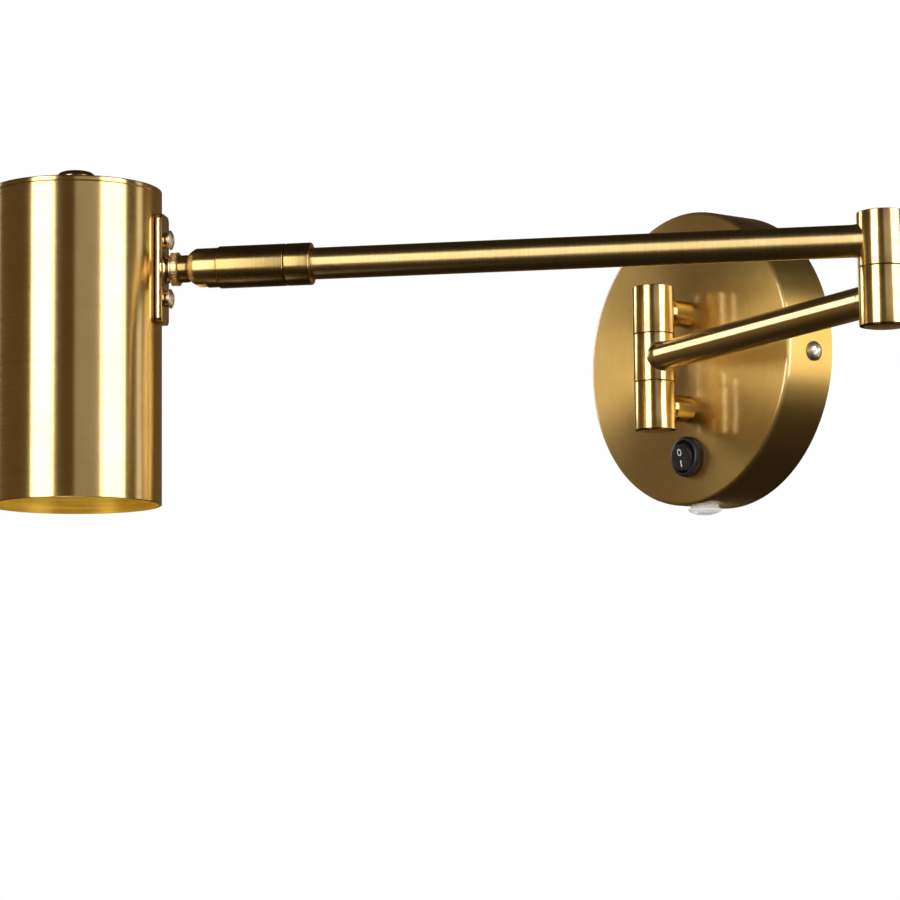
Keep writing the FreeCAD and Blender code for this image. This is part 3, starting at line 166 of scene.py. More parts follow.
def lying_along(origin, direction, side=UP):
    """Placement whose Z runs along direction and whose X points as far as it can to side."""
    along = direction.normalized()
    across = side - along * side.dot(along)
    if across.length < 1e-6:
        across = Vector((1, 0, 0))
    across.normalize()
    turn = Matrix((across, along.cross(across), along)).transposed().to_4x4()
    return Matrix.Translation(origin) @ turn


def placed(obj, place, smooth=35):
    """Puts a finished piece where it belongs, in metres, with its object at the origin."""
    only(obj)
    obj.matrix_world = Matrix.Scale(MM, 4) @ place
    bpy.ops.object.transform_apply(location=True, rotation=True, scale=True)
    bpy.ops.object.shade_smooth_by_angle(angle=math.radians(smooth))
    return obj


def select_ring(obj, height, radius):
    """Selects the corners of the ring at a height and radius."""
    bpy.ops.mesh.select_all(action="DESELECT")
    bpy.ops.object.mode_set(mode="OBJECT")
    for vert in obj.data.vertices:
        flat = math.hypot(vert.co.x, vert.co.y)
        vert.select = abs(vert.co.z - height) < 1e-4 and abs(flat - radius) < 1e-4
    bpy.ops.object.mode_set(mode="EDIT")


def turned(name, profile, place, sides=64, smooth=35):
    """Turns a piece on its axis: profile lists (distance along the axis, radius), from one end to the other.

    A radius of 0 closes that end.  A profile that comes back to its first point makes a hollow piece.
    """
    nothing_selected()
    points = list(profile)
    closed = points[0] == points[-1]
    start = points.pop(0) if points[0][1] == 0 else None
    first_height, first_radius = points[0]
    bpy.ops.mesh.primitive_circle_add(vertices=sides, radius=first_radius, fill_type="NOTHING",
                                      location=(0, 0, 0), enter_editmode=True)
    obj = bpy.context.object
    obj.name = obj.data.name = name
    bpy.context.tool_settings.mesh_select_mode = (True, False, False)
    bpy.ops.transform.translate(value=(0, 0, first_height))
    height, radius = first_height, first_radius
    for step_height, step_radius in points[1:]:
        rise = step_height - height
        bpy.ops.mesh.extrude_region_move(TRANSFORM_OT_translate={"value": (0, 0, rise)})
        if step_radius == 0:
            bpy.ops.mesh.merge(type="CENTER")
            break
        scale = step_radius / radius
        bpy.ops.transform.resize(value=(scale, scale, 1), center_override=(0, 0, step_height))
        height, radius = step_height, step_radius
    if start is not None:
        select_ring(obj, first_height, first_radius)
        rise = start[0] - first_height
        bpy.ops.mesh.extrude_region_move(TRANSFORM_OT_translate={"value": (0, 0, rise)})
        bpy.ops.mesh.merge(type="CENTER")
    bpy.ops.mesh.select_all(action="SELECT")
    if closed:
        bpy.ops.mesh.remove_doubles(threshold=1e-4)
    bpy.ops.mesh.normals_make_consistent(inside=False)
    bpy.ops.object.mode_set(mode="OBJECT")
    lay_round(obj, profile)
    return placed(obj, place, smooth)


def lay_round(obj, profile):
    """UV map of a turned piece: U once round its axis, V along its profile, for the grain's direction."""
    runs = [0.0]
    for (height, radius), (next_height, next_radius) in zip(profile, profile[1:]):
        runs.append(runs[-1] + math.hypot(next_height - height, next_radius - radius))
    layer = obj.data.uv_layers.new(name="around")
    verts = obj.data.vertices
    loops = obj.data.loops
    reach = {}
    for vert in verts:
        flat = math.hypot(vert.co.x, vert.co.y)
        offsets = [abs(vert.co.z - height) + abs(flat - radius) for height, radius in profile]
        reach[vert.index] = runs[offsets.index(min(offsets))] / 100
    for face in obj.data.polygons:
        corners = [(loop, verts[loops[loop].vertex_index]) for loop in face.loop_indices]
        turns = {loop: math.atan2(vert.co.y, vert.co.x) / math.tau for loop, vert in corners
                 if math.hypot(vert.co.x, vert.co.y) > 1e-5}
        crosses_seam = max(turns.values()) - min(turns.values()) > 0.5
        if crosses_seam:
            turns = {loop: turn + (turn < 0) for loop, turn in turns.items()}
        middle = sum(turns.values()) / len(turns)
        for loop, vert in corners:
            layer.data[loop].uv = (turns.get(loop, middle), reach[vert.index])


def rounded(centre_height, centre_radius, size, start, end, steps=6):
    """Points of an arc in a turned profile; angles in degrees, 0 outwards and 90 along the axis."""
    points = []
    for step in range(steps + 1):
        angle = math.radians(start + (end - start) * step / steps)
        points.append((centre_height + size * math.sin(angle), centre_radius + size * math.cos(angle)))
    return points


def raw_box(name, size):
    """A plain box about the origin, left in edit mode with all of it selected."""
    nothing_selected()
    bpy.ops.mesh.primitive_cube_add(size=1, location=(0, 0, 0), enter_editmode=True)
    obj = bpy.context.object
    obj.name = obj.data.name = name
    bpy.ops.transform.resize(value=size, center_override=(0, 0, 0))
    return obj


def block(name, size, place, edge=0.0, edge_steps=3):
    """A box with its edges rounded over."""
    obj = raw_box(name, size)
    if edge > 0:
        bpy.ops.mesh.bevel(offset=edge, segments=edge_steps, affect="EDGES")
    bpy.ops.object.mode_set(mode="OBJECT")
    return placed(obj, place)


def cut(obj, cutter, operation="DIFFERENCE"):
    """Takes the cutter's shape out of a piece, or keeps only what lies inside it."""
    only(obj)
    modifier = obj.modifiers.new("cut", "BOOLEAN")
    modifier.operation = operation
    modifier.solver = "EXACT"
    modifier.object = cutter
    bpy.ops.object.modifier_apply(modifier=modifier.name)
    bpy.data.objects.remove(cutter)
    bpy.ops.object.shade_smooth_by_angle(angle=math.radians(35))


def joined(name, pieces):
    """One object out of several."""
    nothing_selected()
    for piece in pieces:
        piece.select_set(True)
    bpy.context.view_layer.objects.active = pieces[0]
    bpy.ops.object.join()
    pieces[0].name = pieces[0].data.name = name
    return pieces[0]


def turn_faces(obj, inwards=False, merge=0.0):
    """Points a piece's faces all outwards or all inwards, after merging the corners that coincide."""
    only(obj)
    bpy.ops.object.mode_set(mode="EDIT")
    bpy.ops.mesh.select_all(action="SELECT")
    if merge > 0:
        bpy.ops.mesh.remove_doubles(threshold=merge)
    bpy.ops.mesh.normals_make_consistent(inside=inwards)
    bpy.ops.object.mode_set(mode="OBJECT")


def paint(obj, material):
    """Gives a piece one finish in place of any that it had."""
    obj.data.materials.clear()
    obj.data.materials.append(material)


def finish_piece(obj, material, body, *replaced, slot=None):
    """Gives a piece its finish, its body and the nodes it stands for."""
    paint(obj, material)
    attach(obj, body)
    if replaced:
        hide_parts(*replaced)


# ---- how a finish is made ----------------------------------------------------------------------------

UNTURNED = (0, 0, 0)
NOISE_LOW = 0.3
NOISE_HIGH = 0.7


def new_material(name):
    """An empty material with its shader and output."""
    material = bpy.data.materials.new(name)
    material.use_nodes = True
    tree = material.node_tree
    tree.nodes.clear()
    output = tree.nodes.new("ShaderNodeOutputMaterial")
    shader = tree.nodes.new("ShaderNodeBsdfPrincipled")
    tree.links.new(shader.outputs["BSDF"], output.inputs["Surface"])
    return material, tree, shader


def grain(tree, turn, stretch, detail=3.0):
    """Noise on the piece's own coordinates, turned and stretched along the grain."""
    coords = tree.nodes.new("ShaderNodeTexCoord")
    mapping = tree.nodes.new("ShaderNodeMapping")
    mapping.vector_type = "TEXTURE"
    mapping.inputs["Rotation"].default_value = turn
    mapping.inputs["Scale"].default_value = stretch
    noise = tree.nodes.new("ShaderNodeTexNoise")
    noise.inputs["Scale"].default_value = 1.0
    noise.inputs["Detail"].default_value = detail
    noise.inputs["Roughness"].default_value = 0.6
    tree.links.new(coords.outputs["Object"], mapping.inputs["Vector"])
    tree.links.new(mapping.outputs["Vector"], noise.inputs["Vector"])
    return noise.outputs["Fac"]


def even_grain(tree, size, detail):
    """Noise of one size in every direction."""
    return grain(tree, UNTURNED, (size, size, size), detail)


def vector_step(tree, operation, source):
    """One vector operation on what comes in."""
    node = tree.nodes.new("ShaderNodeVectorMath")
    node.operation = operation
    tree.links.new(source, node.inputs[0])
    return node


def ring_grain(tree, ring_width, around):
    """Noise in rings about the wall plate's axis, which is the world's Y axis."""
    coords = tree.nodes.new("ShaderNodeTexCoord")
    flat = vector_step(tree, "MULTIPLY", coords.outputs["Object"])
    flat.inputs[1].default_value = (1, 0, 1)
    unit = vector_step(tree, "NORMALIZE", flat.outputs["Vector"])
    spread = vector_step(tree, "SCALE", unit.outputs["Vector"])
    spread.inputs["Scale"].default_value = around
    parts = tree.nodes.new("ShaderNodeSeparateXYZ")
    tree.links.new(spread.outputs["Vector"], parts.inputs["Vector"])
    length = vector_step(tree, "LENGTH", flat.outputs["Vector"])
    bands = tree.nodes.new("ShaderNodeMath")
    bands.operation = "MULTIPLY"
    bands.inputs[1].default_value = 1 / ring_width
    tree.links.new(length.outputs["Value"], bands.inputs[0])
    ringed = tree.nodes.new("ShaderNodeCombineXYZ")
    tree.links.new(parts.outputs["X"], ringed.inputs["X"])
    tree.links.new(bands.outputs["Value"], ringed.inputs["Y"])
    tree.links.new(parts.outputs["Z"], ringed.inputs["Z"])
    noise = tree.nodes.new("ShaderNodeTexNoise")
    noise.inputs["Scale"].default_value = 1.0
    noise.inputs["Detail"].default_value = 3.0
    tree.links.new(ringed.outputs["Vector"], noise.inputs["Vector"])
    return noise.outputs["Fac"]


def ramp(tree, value, low, dark, high, light):
    """Colour that goes from dark to light as a value goes from low to high."""
    node = tree.nodes.new("ShaderNodeValToRGB")
    stops = ((low, dark), (high, light))
    for element, (position, colour) in zip(node.color_ramp.elements, stops):
        element.position = position
        element.color = (*colour, 1.0)
    tree.links.new(value, node.inputs["Fac"])
    return node.outputs["Color"]


def ranged(tree, value, low, high):
    """The range that noise mostly keeps to, moved to low..high."""
    node = tree.nodes.new("ShaderNodeMapRange")
    node.inputs["From Min"].default_value = NOISE_LOW
    node.inputs["From Max"].default_value = NOISE_HIGH
    node.inputs["To Min"].default_value = low
    node.inputs["To Max"].default_value = high
    tree.links.new(value, node.inputs["Value"])
    return node.outputs["Result"]


def mixed(tree, amount, first, second):
    """Two colours blended by a fixed amount."""
    node = tree.nodes.new("ShaderNodeMix")
    node.data_type = "RGBA"
    node.inputs["Factor"].default_value = amount
    tree.links.new(first, node.inputs["A"])
    tree.links.new(second, node.inputs["B"])
    return node.outputs["Result"]


def roughen(tree, shader, height, strength, depth):
    """Lets the grain stand out from the surface by its depth."""
    bump = tree.nodes.new("ShaderNodeBump")
    bump.inputs["Strength"].default_value = strength
    bump.inputs["Distance"].default_value = depth
    tree.links.new(height, bump.inputs["Height"])
    tree.links.new(bump.outputs["Normal"], shader.inputs["Normal"])


def draw_round(tree, shader, spun):
    """Draws the highlights out across the fine rings that turning left round the piece."""
    shader.inputs["Anisotropic"].default_value = spun
    shader.inputs["Anisotropic Rotation"].default_value = 0.25
    tangent = tree.nodes.new("ShaderNodeTangent")
    tangent.direction_type = "UV_MAP"
    tangent.uv_map = "around"
    tree.links.new(tangent.outputs["Tangent"], shader.inputs["Tangent"])


# ---- brass -------------------------------------------------------------------------------------------

BRASS_LIGHT = (0.89, 0.67, 0.31)
BRASS_DARK = (0.75, 0.53, 0.21)
LINE_WIDTH = 0.0004
CLOUD_SIZE = 0.012
CLOUD_SHARE = 0.35
ROUND_UPRIGHT = (0.03, 0.03, LINE_WIDTH)
ROUND_TUBE = (LINE_WIDTH, 0.03, 0.03)
ROUND_SWIVEL = (LINE_WIDTH, 0.02, 0.02)
ALONG_INNER = (0, 0, INNER_TURN)
ALONG_OUTER = (0, 0, OUTER_TURN)


def brass(name, turn=UNTURNED, stretch=ROUND_UPRIGHT, light=BRASS_LIGHT, dark=BRASS_DARK,
          rough=(0.22, 0.26), depth=0.000003, spun=0.8, lacquered=False, metal=1.0, rings=False):
    """Turned brass: fine lines round the piece that draw its highlights out, and faint clouds."""
    material, tree, shader = new_material(name)
    streak = ring_grain(tree, LINE_WIDTH, 3.0) if rings else grain(tree, turn, stretch)
    clouds = even_grain(tree, CLOUD_SIZE, 3.0)
    streak_colour = ramp(tree, streak, NOISE_LOW, dark, NOISE_HIGH, light)
    cloud_colour = ramp(tree, clouds, 0.35, dark, 0.65, light)
    tree.links.new(mixed(tree, CLOUD_SHARE, streak_colour, cloud_colour), shader.inputs["Base Color"])
    shader.inputs["Metallic"].default_value = metal
    tree.links.new(ranged(tree, streak, *rough), shader.inputs["Roughness"])
    roughen(tree, shader, streak, 0.5, depth)
    if spun > 0:
        draw_round(tree, shader, spun)
    if lacquered:
        shader.inputs["Coat Weight"].default_value = 1.0
        shader.inputs["Coat Roughness"].default_value = 0.12
        shader.inputs["Coat IOR"].default_value = 2.2
    return material


plate_brass = brass("plate_brass", rings=True, rough=(0.44, 0.53), spun=0.9, lacquered=True,
                    light=(0.98, 0.68, 0.21), dark=(0.86, 0.54, 0.13))
column_brass = brass("column_brass", stretch=(0.03, 0.03, 0.003), rough=(0.21, 0.25), spun=0.7,
                     depth=0.0000005)
cap_brass = brass("cap_brass", stretch=(0.003, 0.003, 0.003), rough=(0.16, 0.24), spun=0.0)
inner_brass = brass("inner_tube_brass", turn=ALONG_INNER, stretch=ROUND_TUBE,
                    rough=(0.20, 0.25), spun=0.6)
outer_brass = brass("outer_tube_brass", turn=ALONG_OUTER, stretch=ROUND_TUBE,
                    rough=(0.33, 0.38), spun=0.9)
# The swivel's ring, sleeve and stem take a darker copy of the brass: painted shade, for the dark these round
# pieces show in their reflections.
swivel_brass_painted_shade = brass("swivel_brass_painted_shade", turn=ALONG_OUTER, stretch=ROUND_SWIVEL,
                     rough=(0.28, 0.34), spun=0.9,
                     light=(0.66, 0.48, 0.20), dark=(0.50, 0.34, 0.11))
# The nose takes a darker copy of the brass too: painted shade, so that it reads as dark as the sleeve beside
# it.
nose_brass_painted_shade = brass("nose_brass_painted_shade", turn=ALONG_OUTER, stretch=ROUND_SWIVEL,
                   rough=(0.27, 0.34), spun=0.8,
                   light=(0.74, 0.54, 0.23), dark=(0.58, 0.40, 0.14))
polished_brass = brass("polished_brass", stretch=(0.004, 0.004, 0.004),
                       rough=(0.15, 0.22), spun=0.0,
                       light=(0.92, 0.70, 0.35), dark=(0.80, 0.57, 0.26))
nut_brass = brass("nut_brass", stretch=(0.0006, 0.0006, 0.0006), rough=(0.26, 0.36), spun=0.0,
                  depth=0.00002, light=(0.95, 0.76, 0.44), dark=(0.80, 0.60, 0.30))
shade_brass = brass("shade_brass", rough=(0.22, 0.27), spun=0.9, depth=0.000008)
# The lining is turned brass with fine rings, but its deeper, more saturated gold is painted light, bounced
# round inside the shade.
shade_inside = brass("shade_inside_brass", stretch=(0.05, 0.05, 0.0010), rough=(0.30, 0.42), spun=0.5,
                     light=(0.98, 0.66, 0.08), dark=(0.56, 0.31, 0.02), metal=0.6, depth=0.00003)


# ---- plated steel, mouldings and glass ---------------------------------------------------------------

MOTTLE_SIZE = 0.0015
SHADING_SIZE = 0.006


def steel(name, light, dark, rough):
    """Plated metal with a faint mottle."""
    material, tree, shader = new_material(name)
    spots = even_grain(tree, MOTTLE_SIZE, 4.0)
    tree.links.new(ramp(tree, spots, NOISE_LOW, dark, NOISE_HIGH, light), shader.inputs["Base Color"])
    shader.inputs["Metallic"].default_value = 1.0
    tree.links.new(ranged(tree, spots, *rough), shader.inputs["Roughness"])
    return material


def moulding(name, light, dark, rough, size=0.0004, depth=0.00002):
    """Moulded plastic with a fine spark-eroded skin."""
    material, tree, shader = new_material(name)
    skin = even_grain(tree, size, 2.0)
    broad = even_grain(tree, SHADING_SIZE, 2.0)
    tree.links.new(ramp(tree, broad, NOISE_LOW, dark, NOISE_HIGH, light), shader.inputs["Base Color"])
    tree.links.new(ranged(tree, broad, *rough), shader.inputs["Roughness"])
    roughen(tree, shader, skin, 0.35, depth)
    return material


def opal_glass():
    """Milky glass of the bulb."""
    material = moulding("bulb_opal_glass", (0.90, 0.90, 0.87), (0.84, 0.84, 0.80), (0.06, 0.12),
                        size=0.01, depth=0.000005)
    shader = material.node_tree.nodes["Principled BSDF"]
    shader.inputs["Transmission Weight"].default_value = 0.35
    shader.inputs["Subsurface Weight"].default_value = 0.15
    return material


screw_nickel = steel("screw_nickel", (0.95, 0.90, 0.78), (0.80, 0.73, 0.58), (0.30, 0.42))
zinc = steel("zinc_steel", (0.66, 0.67, 0.68), (0.50, 0.51, 0.53), (0.30, 0.45))
contact_brass = steel("contact_brass", (0.76, 0.60, 0.32), (0.62, 0.46, 0.22), (0.2, 0.35))
black_moulding = moulding("black_moulding", (0.020, 0.020, 0.022), (0.010, 0.010, 0.011), (0.30, 0.42))
white_moulding = moulding("white_moulding", (0.80, 0.79, 0.76), (0.70, 0.69, 0.66), (0.35, 0.5))
bearing_moulding = moulding("bearing_moulding", (0.12, 0.11, 0.10), (0.08, 0.075, 0.07), (0.4, 0.55))
lead_moulding = moulding("lead_moulding", (0.62, 0.59, 0.52), (0.52, 0.49, 0.43), (0.45, 0.6))
mark_white = moulding("mark_white", (0.85, 0.85, 0.84), (0.75, 0.75, 0.74), (0.4, 0.5))
bulb_glass = opal_glass()


# ---- wall plate --------------------------------------------------------------------------------------

def wall_plate_shell():
    """The plate's drum, closed in front and open to the wall, with its wall's thickness."""
    place = lying_along(Vector((0, 0, 0)), OUT)
    inside = PLATE_RADIUS - PLATE_WALL
    floor_inside = PLATE_DEPTH - PLATE_WALL
    corner_start = PLATE_DEPTH - PLATE_CORNER
    corner_radius = PLATE_RADIUS - PLATE_CORNER
    outline = [(0.0, inside), (0.0, PLATE_RADIUS), (12.0, PLATE_RADIUS)]
    outline += rounded(corner_start, corner_radius, PLATE_CORNER, 0, 90)
    outline += [(PLATE_DEPTH, 40.0), (PLATE_DEPTH, 16.0), (PLATE_DEPTH, 0)]
    shell = turned("wall_plate_shell", outline, place, sides=192, smooth=25)
    outline = [(0.0, inside), (12.0, inside), (corner_start, inside), (floor_inside, corner_radius),
               (floor_inside, 30.0), (floor_inside, 0)]
    lining = turned("wall_plate_lining", outline, place, sides=192, smooth=25)
    shell = joined("wall_plate_shell", [shell, lining])
    turn_faces(shell, merge=1e-6)
    finish_piece(shell, plate_brass, "wall_plate", "plate_face", "plate_rim", "plate_rim_foot",
                 slot="satin_brass")


def screw_head(name, radius, height, place):
    """A domed head with a cross recess."""
    dome_rise = height * 0.72
    dome = (radius ** 2 + dome_rise ** 2) / (2 * dome_rise)
    seat_radius = radius * 0.93
    start = math.degrees(math.asin(seat_radius / dome))
    outline = [(0, 0), (0, seat_radius), (height * 0.12, radius), (height * 0.28, radius)]
    outline += rounded(height - dome, 0, dome, 90 - start, 90, 8)[1:-1]
    outline.append((height, 0))
    head = turned(name, outline, place, sides=40)
    recess_size = (radius * 1.25, radius * 0.27, height * 0.9)
    for spin in (20.0, 110.0):
        turn = Matrix.Rotation(math.radians(spin), 4, "Z")
        recess_place = place @ turn @ Matrix.Translation((0, 0, height))
        cut(head, block(name + "_slot", recess_size, recess_place, 0.12, 2))
    return head


def side_screw_heads():
    """The heads of the two screws in the plate's rim."""
    heads = []
    for side, name in ((1, "right"), (-1, "left")):
        centre = Vector((side * PLATE_RADIUS, -SIDE_SCREW_OUT, -SIDE_SCREW_DROP))
        place = lying_along(centre, RIGHT * side)
        heads.append(screw_head("side_screw_" + name, SIDE_SCREW_RADIUS, SIDE_SCREW_HEIGHT, place))
    heads = joined("side_screw_heads", heads)
    finish_piece(heads, screw_nickel, "wall_plate", "side_screws", slot="nickel_screws")


def standoff_post(name, height):
    """A post from the plate to the column, with a soft collar near the column."""
    radius = STANDOFF_RADIUS
    place = lying_along(Vector((0, -PLATE_DEPTH, height)), OUT)
    outline = [(-0.6, 0), (-0.6, radius), (0.0, radius), (0.4, radius), (8.2, radius), (8.6, radius + 0.45),
               (9.3, radius + 0.5), (9.8, radius + 0.3), (STANDOFF_LENGTH, radius - 0.3),
               (STANDOFF_LENGTH, 0)]
    post = turned("standoff_" + name + "_post", outline, place, sides=64)
    finish_piece(post, column_brass, "wall_plate", "standoff_" + name, slot="satin_brass")


wall_plate_shell()
side_screw_heads()
for post_name, post_height in STANDOFF_HEIGHTS.items():
    standoff_post(post_name, post_height)


# ---- switch and cord gland ---------------------------------------------------------------------------

rocker_face = Vector((0, -math.cos(ROCKER_LEAN), -math.sin(ROCKER_LEAN)))
rocker_place = lying_along(ROCKER_PIVOT, rocker_face)


def switch_bezel():
    """The switch's round barrel and bezel, with the well that the rocker sits in."""
    outline = [(-BARREL_LENGTH, 0), (-BARREL_LENGTH, BARREL_RADIUS), (-0.2, BARREL_RADIUS),
               (0.0, BEZEL_RADIUS - 0.05), (0.3, BEZEL_RADIUS)]
    outline += rounded(1.3, BEZEL_RADIUS - BEZEL_ROUND, BEZEL_ROUND, 0, 80, 8)
    outline += [(2.78, 6.95), (2.6, 6.72), (1.6, WELL_RADIUS), (-WELL_DEPTH, WELL_RADIUS), (-WELL_DEPTH, 0)]
    bezel = turned("switch_bezel", outline, lying_along(SWITCH, OUT), sides=96)
    finish_piece(bezel, black_moulding, "wall_plate", "switch_housing", slot="black_plastic")


def switch_rocker():
    """The rocker, round in front view and round again about its pivot; its upper half leans out."""
    outline = [(-2.4, 0), (-2.4, 5.7), (-2.1, 6.0), (2.9, 6.05)]
    outline += rounded(3.05, 5.7, 0.35, 0, 90, 4)
    outline += [(3.35, 3.5), (3.3, 0)]
    rocker = turned("rocker_drum", outline, rocker_place, sides=96)
    round_ends = turned("rocker_round_ends", [(-8, 0), (-8, 6.1), (8, 6.1), (8, 0)],
                        lying_along(ROCKER_PIVOT, RIGHT), sides=96)
    cut(rocker, round_ends, "INTERSECT")
    finish_piece(rocker, black_moulding, "rocker", "switch_rocker", slot="black_plastic")


def rocker_marks():
    """A ring for off on the rocker's upper half and a bar for on under it."""
    ring = [(3.30, 1.02), (3.44, 1.04), (3.44, 1.46), (3.30, 1.48), (3.30, 1.02)]
    narrowed = Matrix.Diagonal((1.0, 0.82, 1.0, 1.0))
    off_place = rocker_place @ Matrix.Translation((2.4, MARK_SHIFT, 0)) @ narrowed
    off_mark = turned("mark_off_ring", ring, off_place, sides=48)
    on_place = rocker_place @ Matrix.Translation((-2.3, MARK_SHIFT, 3.37))
    on_mark = block("mark_on_bar", (2.7, 0.5, 0.14), on_place, 0.05, 2)
    finish_piece(joined("rocker_marks", [off_mark, on_mark]), mark_white, "rocker", slot="white_plastic")


def gland_moulding():
    """The cord gland under the rim: a flange and a soft dome round the bore, a clip slot and a nib."""
    outline = [(-GLAND_LENGTH, GLAND_BORE), (-GLAND_LENGTH, 4.0), (-10.7, 4.2), (-1.3, 4.2), (-1.1, 4.9),
               (-0.6, 5.5), (0.1, 5.85), (0.9, 5.95), (1.05, 6.6), (1.1, 6.9), (1.25, 7.0), (1.7, 6.95),
               (2.1, 6.5), (2.6, 5.6), (3.0, 4.6), (3.3, 3.5), (3.4, 2.9), (3.3, GLAND_BORE),
               (-GLAND_LENGTH, GLAND_BORE)]
    gland = turned("gland_moulding", outline, lying_along(GLAND, -UP, OUT), sides=80)
    clip_place = Matrix.Translation(GLAND + CLIP_SIDE * 6.0 - UP * 0.2) @ Matrix.Rotation(CLIP_TURN, 4, "Z")
    cut(gland, block("gland_clip_slot", (4.0, 3.0, 1.0), clip_place))
    nib_place = Matrix.Translation(GLAND + OUT * 5.3 - UP * 2.7)
    nib = block("gland_nib", (2.4, 1.4, 1.6), nib_place, 0.25, 3)
    finish_piece(joined("gland_moulding", [gland, nib]), white_moulding, "wall_plate", "cord_gland",
                 slot="white_plastic")


switch_bezel()
switch_rocker()
rocker_marks()
gland_moulding()


# ---- wall column and elbow ---------------------------------------------------------------------------

def knuckle(name, radius, low, high, centre, body, node):
    """One section of a column, its edges broken, closed above and below."""
    edge = 0.25
    outline = [(low, 0), (low, radius - edge)]
    outline += rounded(low + edge, radius - edge, edge, -90, 0, 3)
    outline += rounded(high - edge, radius - edge, edge, 0, 90, 3)
    outline.append((high, 0))
    piece = turned(name, outline, Matrix.Translation(centre), sides=96)
    finish_piece(piece, column_brass, body, node, slot="satin_brass")


def dome_cap(name, radius, face, facing, centre):
    """A shallow domed cap on the face at a height, facing up (1) or down (-1)."""
    brim = 0.3
    rise = 0.65
    place = lying_along(centre + UP * face, UP * facing, RIGHT)
    outline = [(-brim, 0), (-brim, radius), (0.12, radius), (brim, radius - 0.25)]
    for step in range(1, 6):
        share = 1 - step / 6
        outline.append((brim + rise * (1 - share ** 2), (radius - 0.25) * share))
    outline.append((brim + rise, 0))
    return turned(name, outline, place, sides=96)


def column_caps():
    """The caps above and below the wall column."""
    top = dome_cap("wall_column_cap_top", COLUMN_CAP_RADIUS, COLUMN_TOP, 1, COLUMN)
    bottom = dome_cap("wall_column_cap_bottom", COLUMN_CAP_RADIUS, COLUMN_BOTTOM, -1, COLUMN)
    finish_piece(joined("wall_column_caps", [top, bottom]), cap_brass, "wall_plate", "wall_caps",
                 slot="satin_brass")


def elbow_cap(side, face, facing):
    """One of the elbow's two caps."""
    cap = dome_cap("elbow_cap_" + side + "_dome", ELBOW_CAP_RADIUS, face, facing, ELBOW)
    finish_piece(cap, cap_brass, "inner_arm", "elbow_cap_" + side, slot="satin_brass")


knuckle("wall_column_upper", COLUMN_RADIUS, COLUMN_UPPER_SEAM[1], COLUMN_TOP, COLUMN,
        "wall_plate", "wall_knuckle_upper")
knuckle("wall_column_lower", COLUMN_RADIUS, COLUMN_BOTTOM, COLUMN_LOWER_SEAM[0], COLUMN,
        "wall_plate", "wall_knuckle_lower")
knuckle("wall_column_middle", COLUMN_RADIUS, COLUMN_LOWER_SEAM[1], COLUMN_UPPER_SEAM[0], COLUMN,
        "inner_arm", "inner_arm_knuckle")
column_caps()
knuckle("elbow_lower", ELBOW_RADIUS, ELBOW_BOTTOM, ELBOW_SEAM[0], ELBOW,
        "inner_arm", "elbow_lower_knuckle")
knuckle("elbow_upper", ELBOW_RADIUS, ELBOW_SEAM[1], ELBOW_TOP, ELBOW,
        "outer_arm", "elbow_upper_knuckle")
elbow_cap("top", ELBOW_CAP_FACE, 1)
elbow_cap("bottom", ELBOW_BOTTOM, -1)


# ---- arms --------------------------------------------------------------------------------------------

inner_place = lying_along(COLUMN + UP * INNER_HEIGHT, INNER)
outer_place = lying_along(ARM, OUTER)


def inner_tube():
    """The lower tube, swelling a little where it meets the column and the elbow."""
    outline = [(TUBE_START, 0), (TUBE_START, 6.7), (7.2, 6.65), (8.2, 6.35), (9.0, 6.1)]
    outline += [(along, TUBE_RADIUS) for along in (10.2, 60, 110, 154.0)]
    outline += [(155.2, 6.1), (156.2, 6.3), (INNER_TUBE_END, 6.4), (INNER_TUBE_END, 0)]
    tube = turned("inner_tube", outline, inner_place, sides=64)
    finish_piece(tube, inner_brass, "inner_arm", "inner_arm_tube", slot="satin_brass")


def outer_tube():
    """The upper tube, swelling a little where it meets the elbow."""
    outline = [(TUBE_START, 0), (TUBE_START, 6.4), (9.0, 6.3), (10.0, 6.1)]
    outline += [(along, TUBE_RADIUS) for along in (11.0, 60, 120, 180, OUTER_TUBE_END)]
    outline.append((OUTER_TUBE_END, 0))
    tube = turned("outer_tube", outline, outer_place, sides=64)
    finish_piece(tube, outer_brass, "outer_arm", "outer_arm_tube", slot="satin_brass")


inner_tube()
outer_tube()


# ---- swivel ------------------------------------------------------------------------------------------

def arm_end_ring():
    """The collar on the arm's end, beside the sleeve."""
    outline = [(RING_START, TUBE_RADIUS), (RING_START, 7.6)]
    outline += rounded(RING_START + 0.45, SWIVEL_RADIUS - 0.45, 0.45, -90, 0, 3)
    outline += rounded(RING_END - 0.4, SWIVEL_RADIUS - 0.4, 0.4, 0, 90, 3)
    outline += [(RING_END, TUBE_RADIUS), (RING_START, TUBE_RADIUS)]
    ring = turned("arm_end_ring", outline, outer_place, sides=96)
    finish_piece(ring, swivel_brass_painted_shade, "outer_arm", "swivel_ring", slot="satin_brass")


def swivel_barrel():
    """The turning sleeve, bored wide but for the wall at its back."""
    edge = 0.4
    back_wall = 4.0
    outline = [(SLEEVE_START, 5.0), (SLEEVE_START, SWIVEL_RADIUS - edge)]
    outline += rounded(SLEEVE_START + edge, SWIVEL_RADIUS - edge, edge, -90, 0, 3)
    outline += rounded(SLEEVE_END - edge, SWIVEL_RADIUS - edge, edge, 0, 90, 3)
    outline += [(SLEEVE_END, 6.85), (SLEEVE_START + back_wall, 6.85), (SLEEVE_START + back_wall, 5.0),
                (SLEEVE_START, 5.0)]
    sleeve = turned("swivel_barrel", outline, outer_place, sides=96)
    finish_piece(sleeve, swivel_brass_painted_shade, "swivel", "swivel_sleeve", slot="satin_brass")


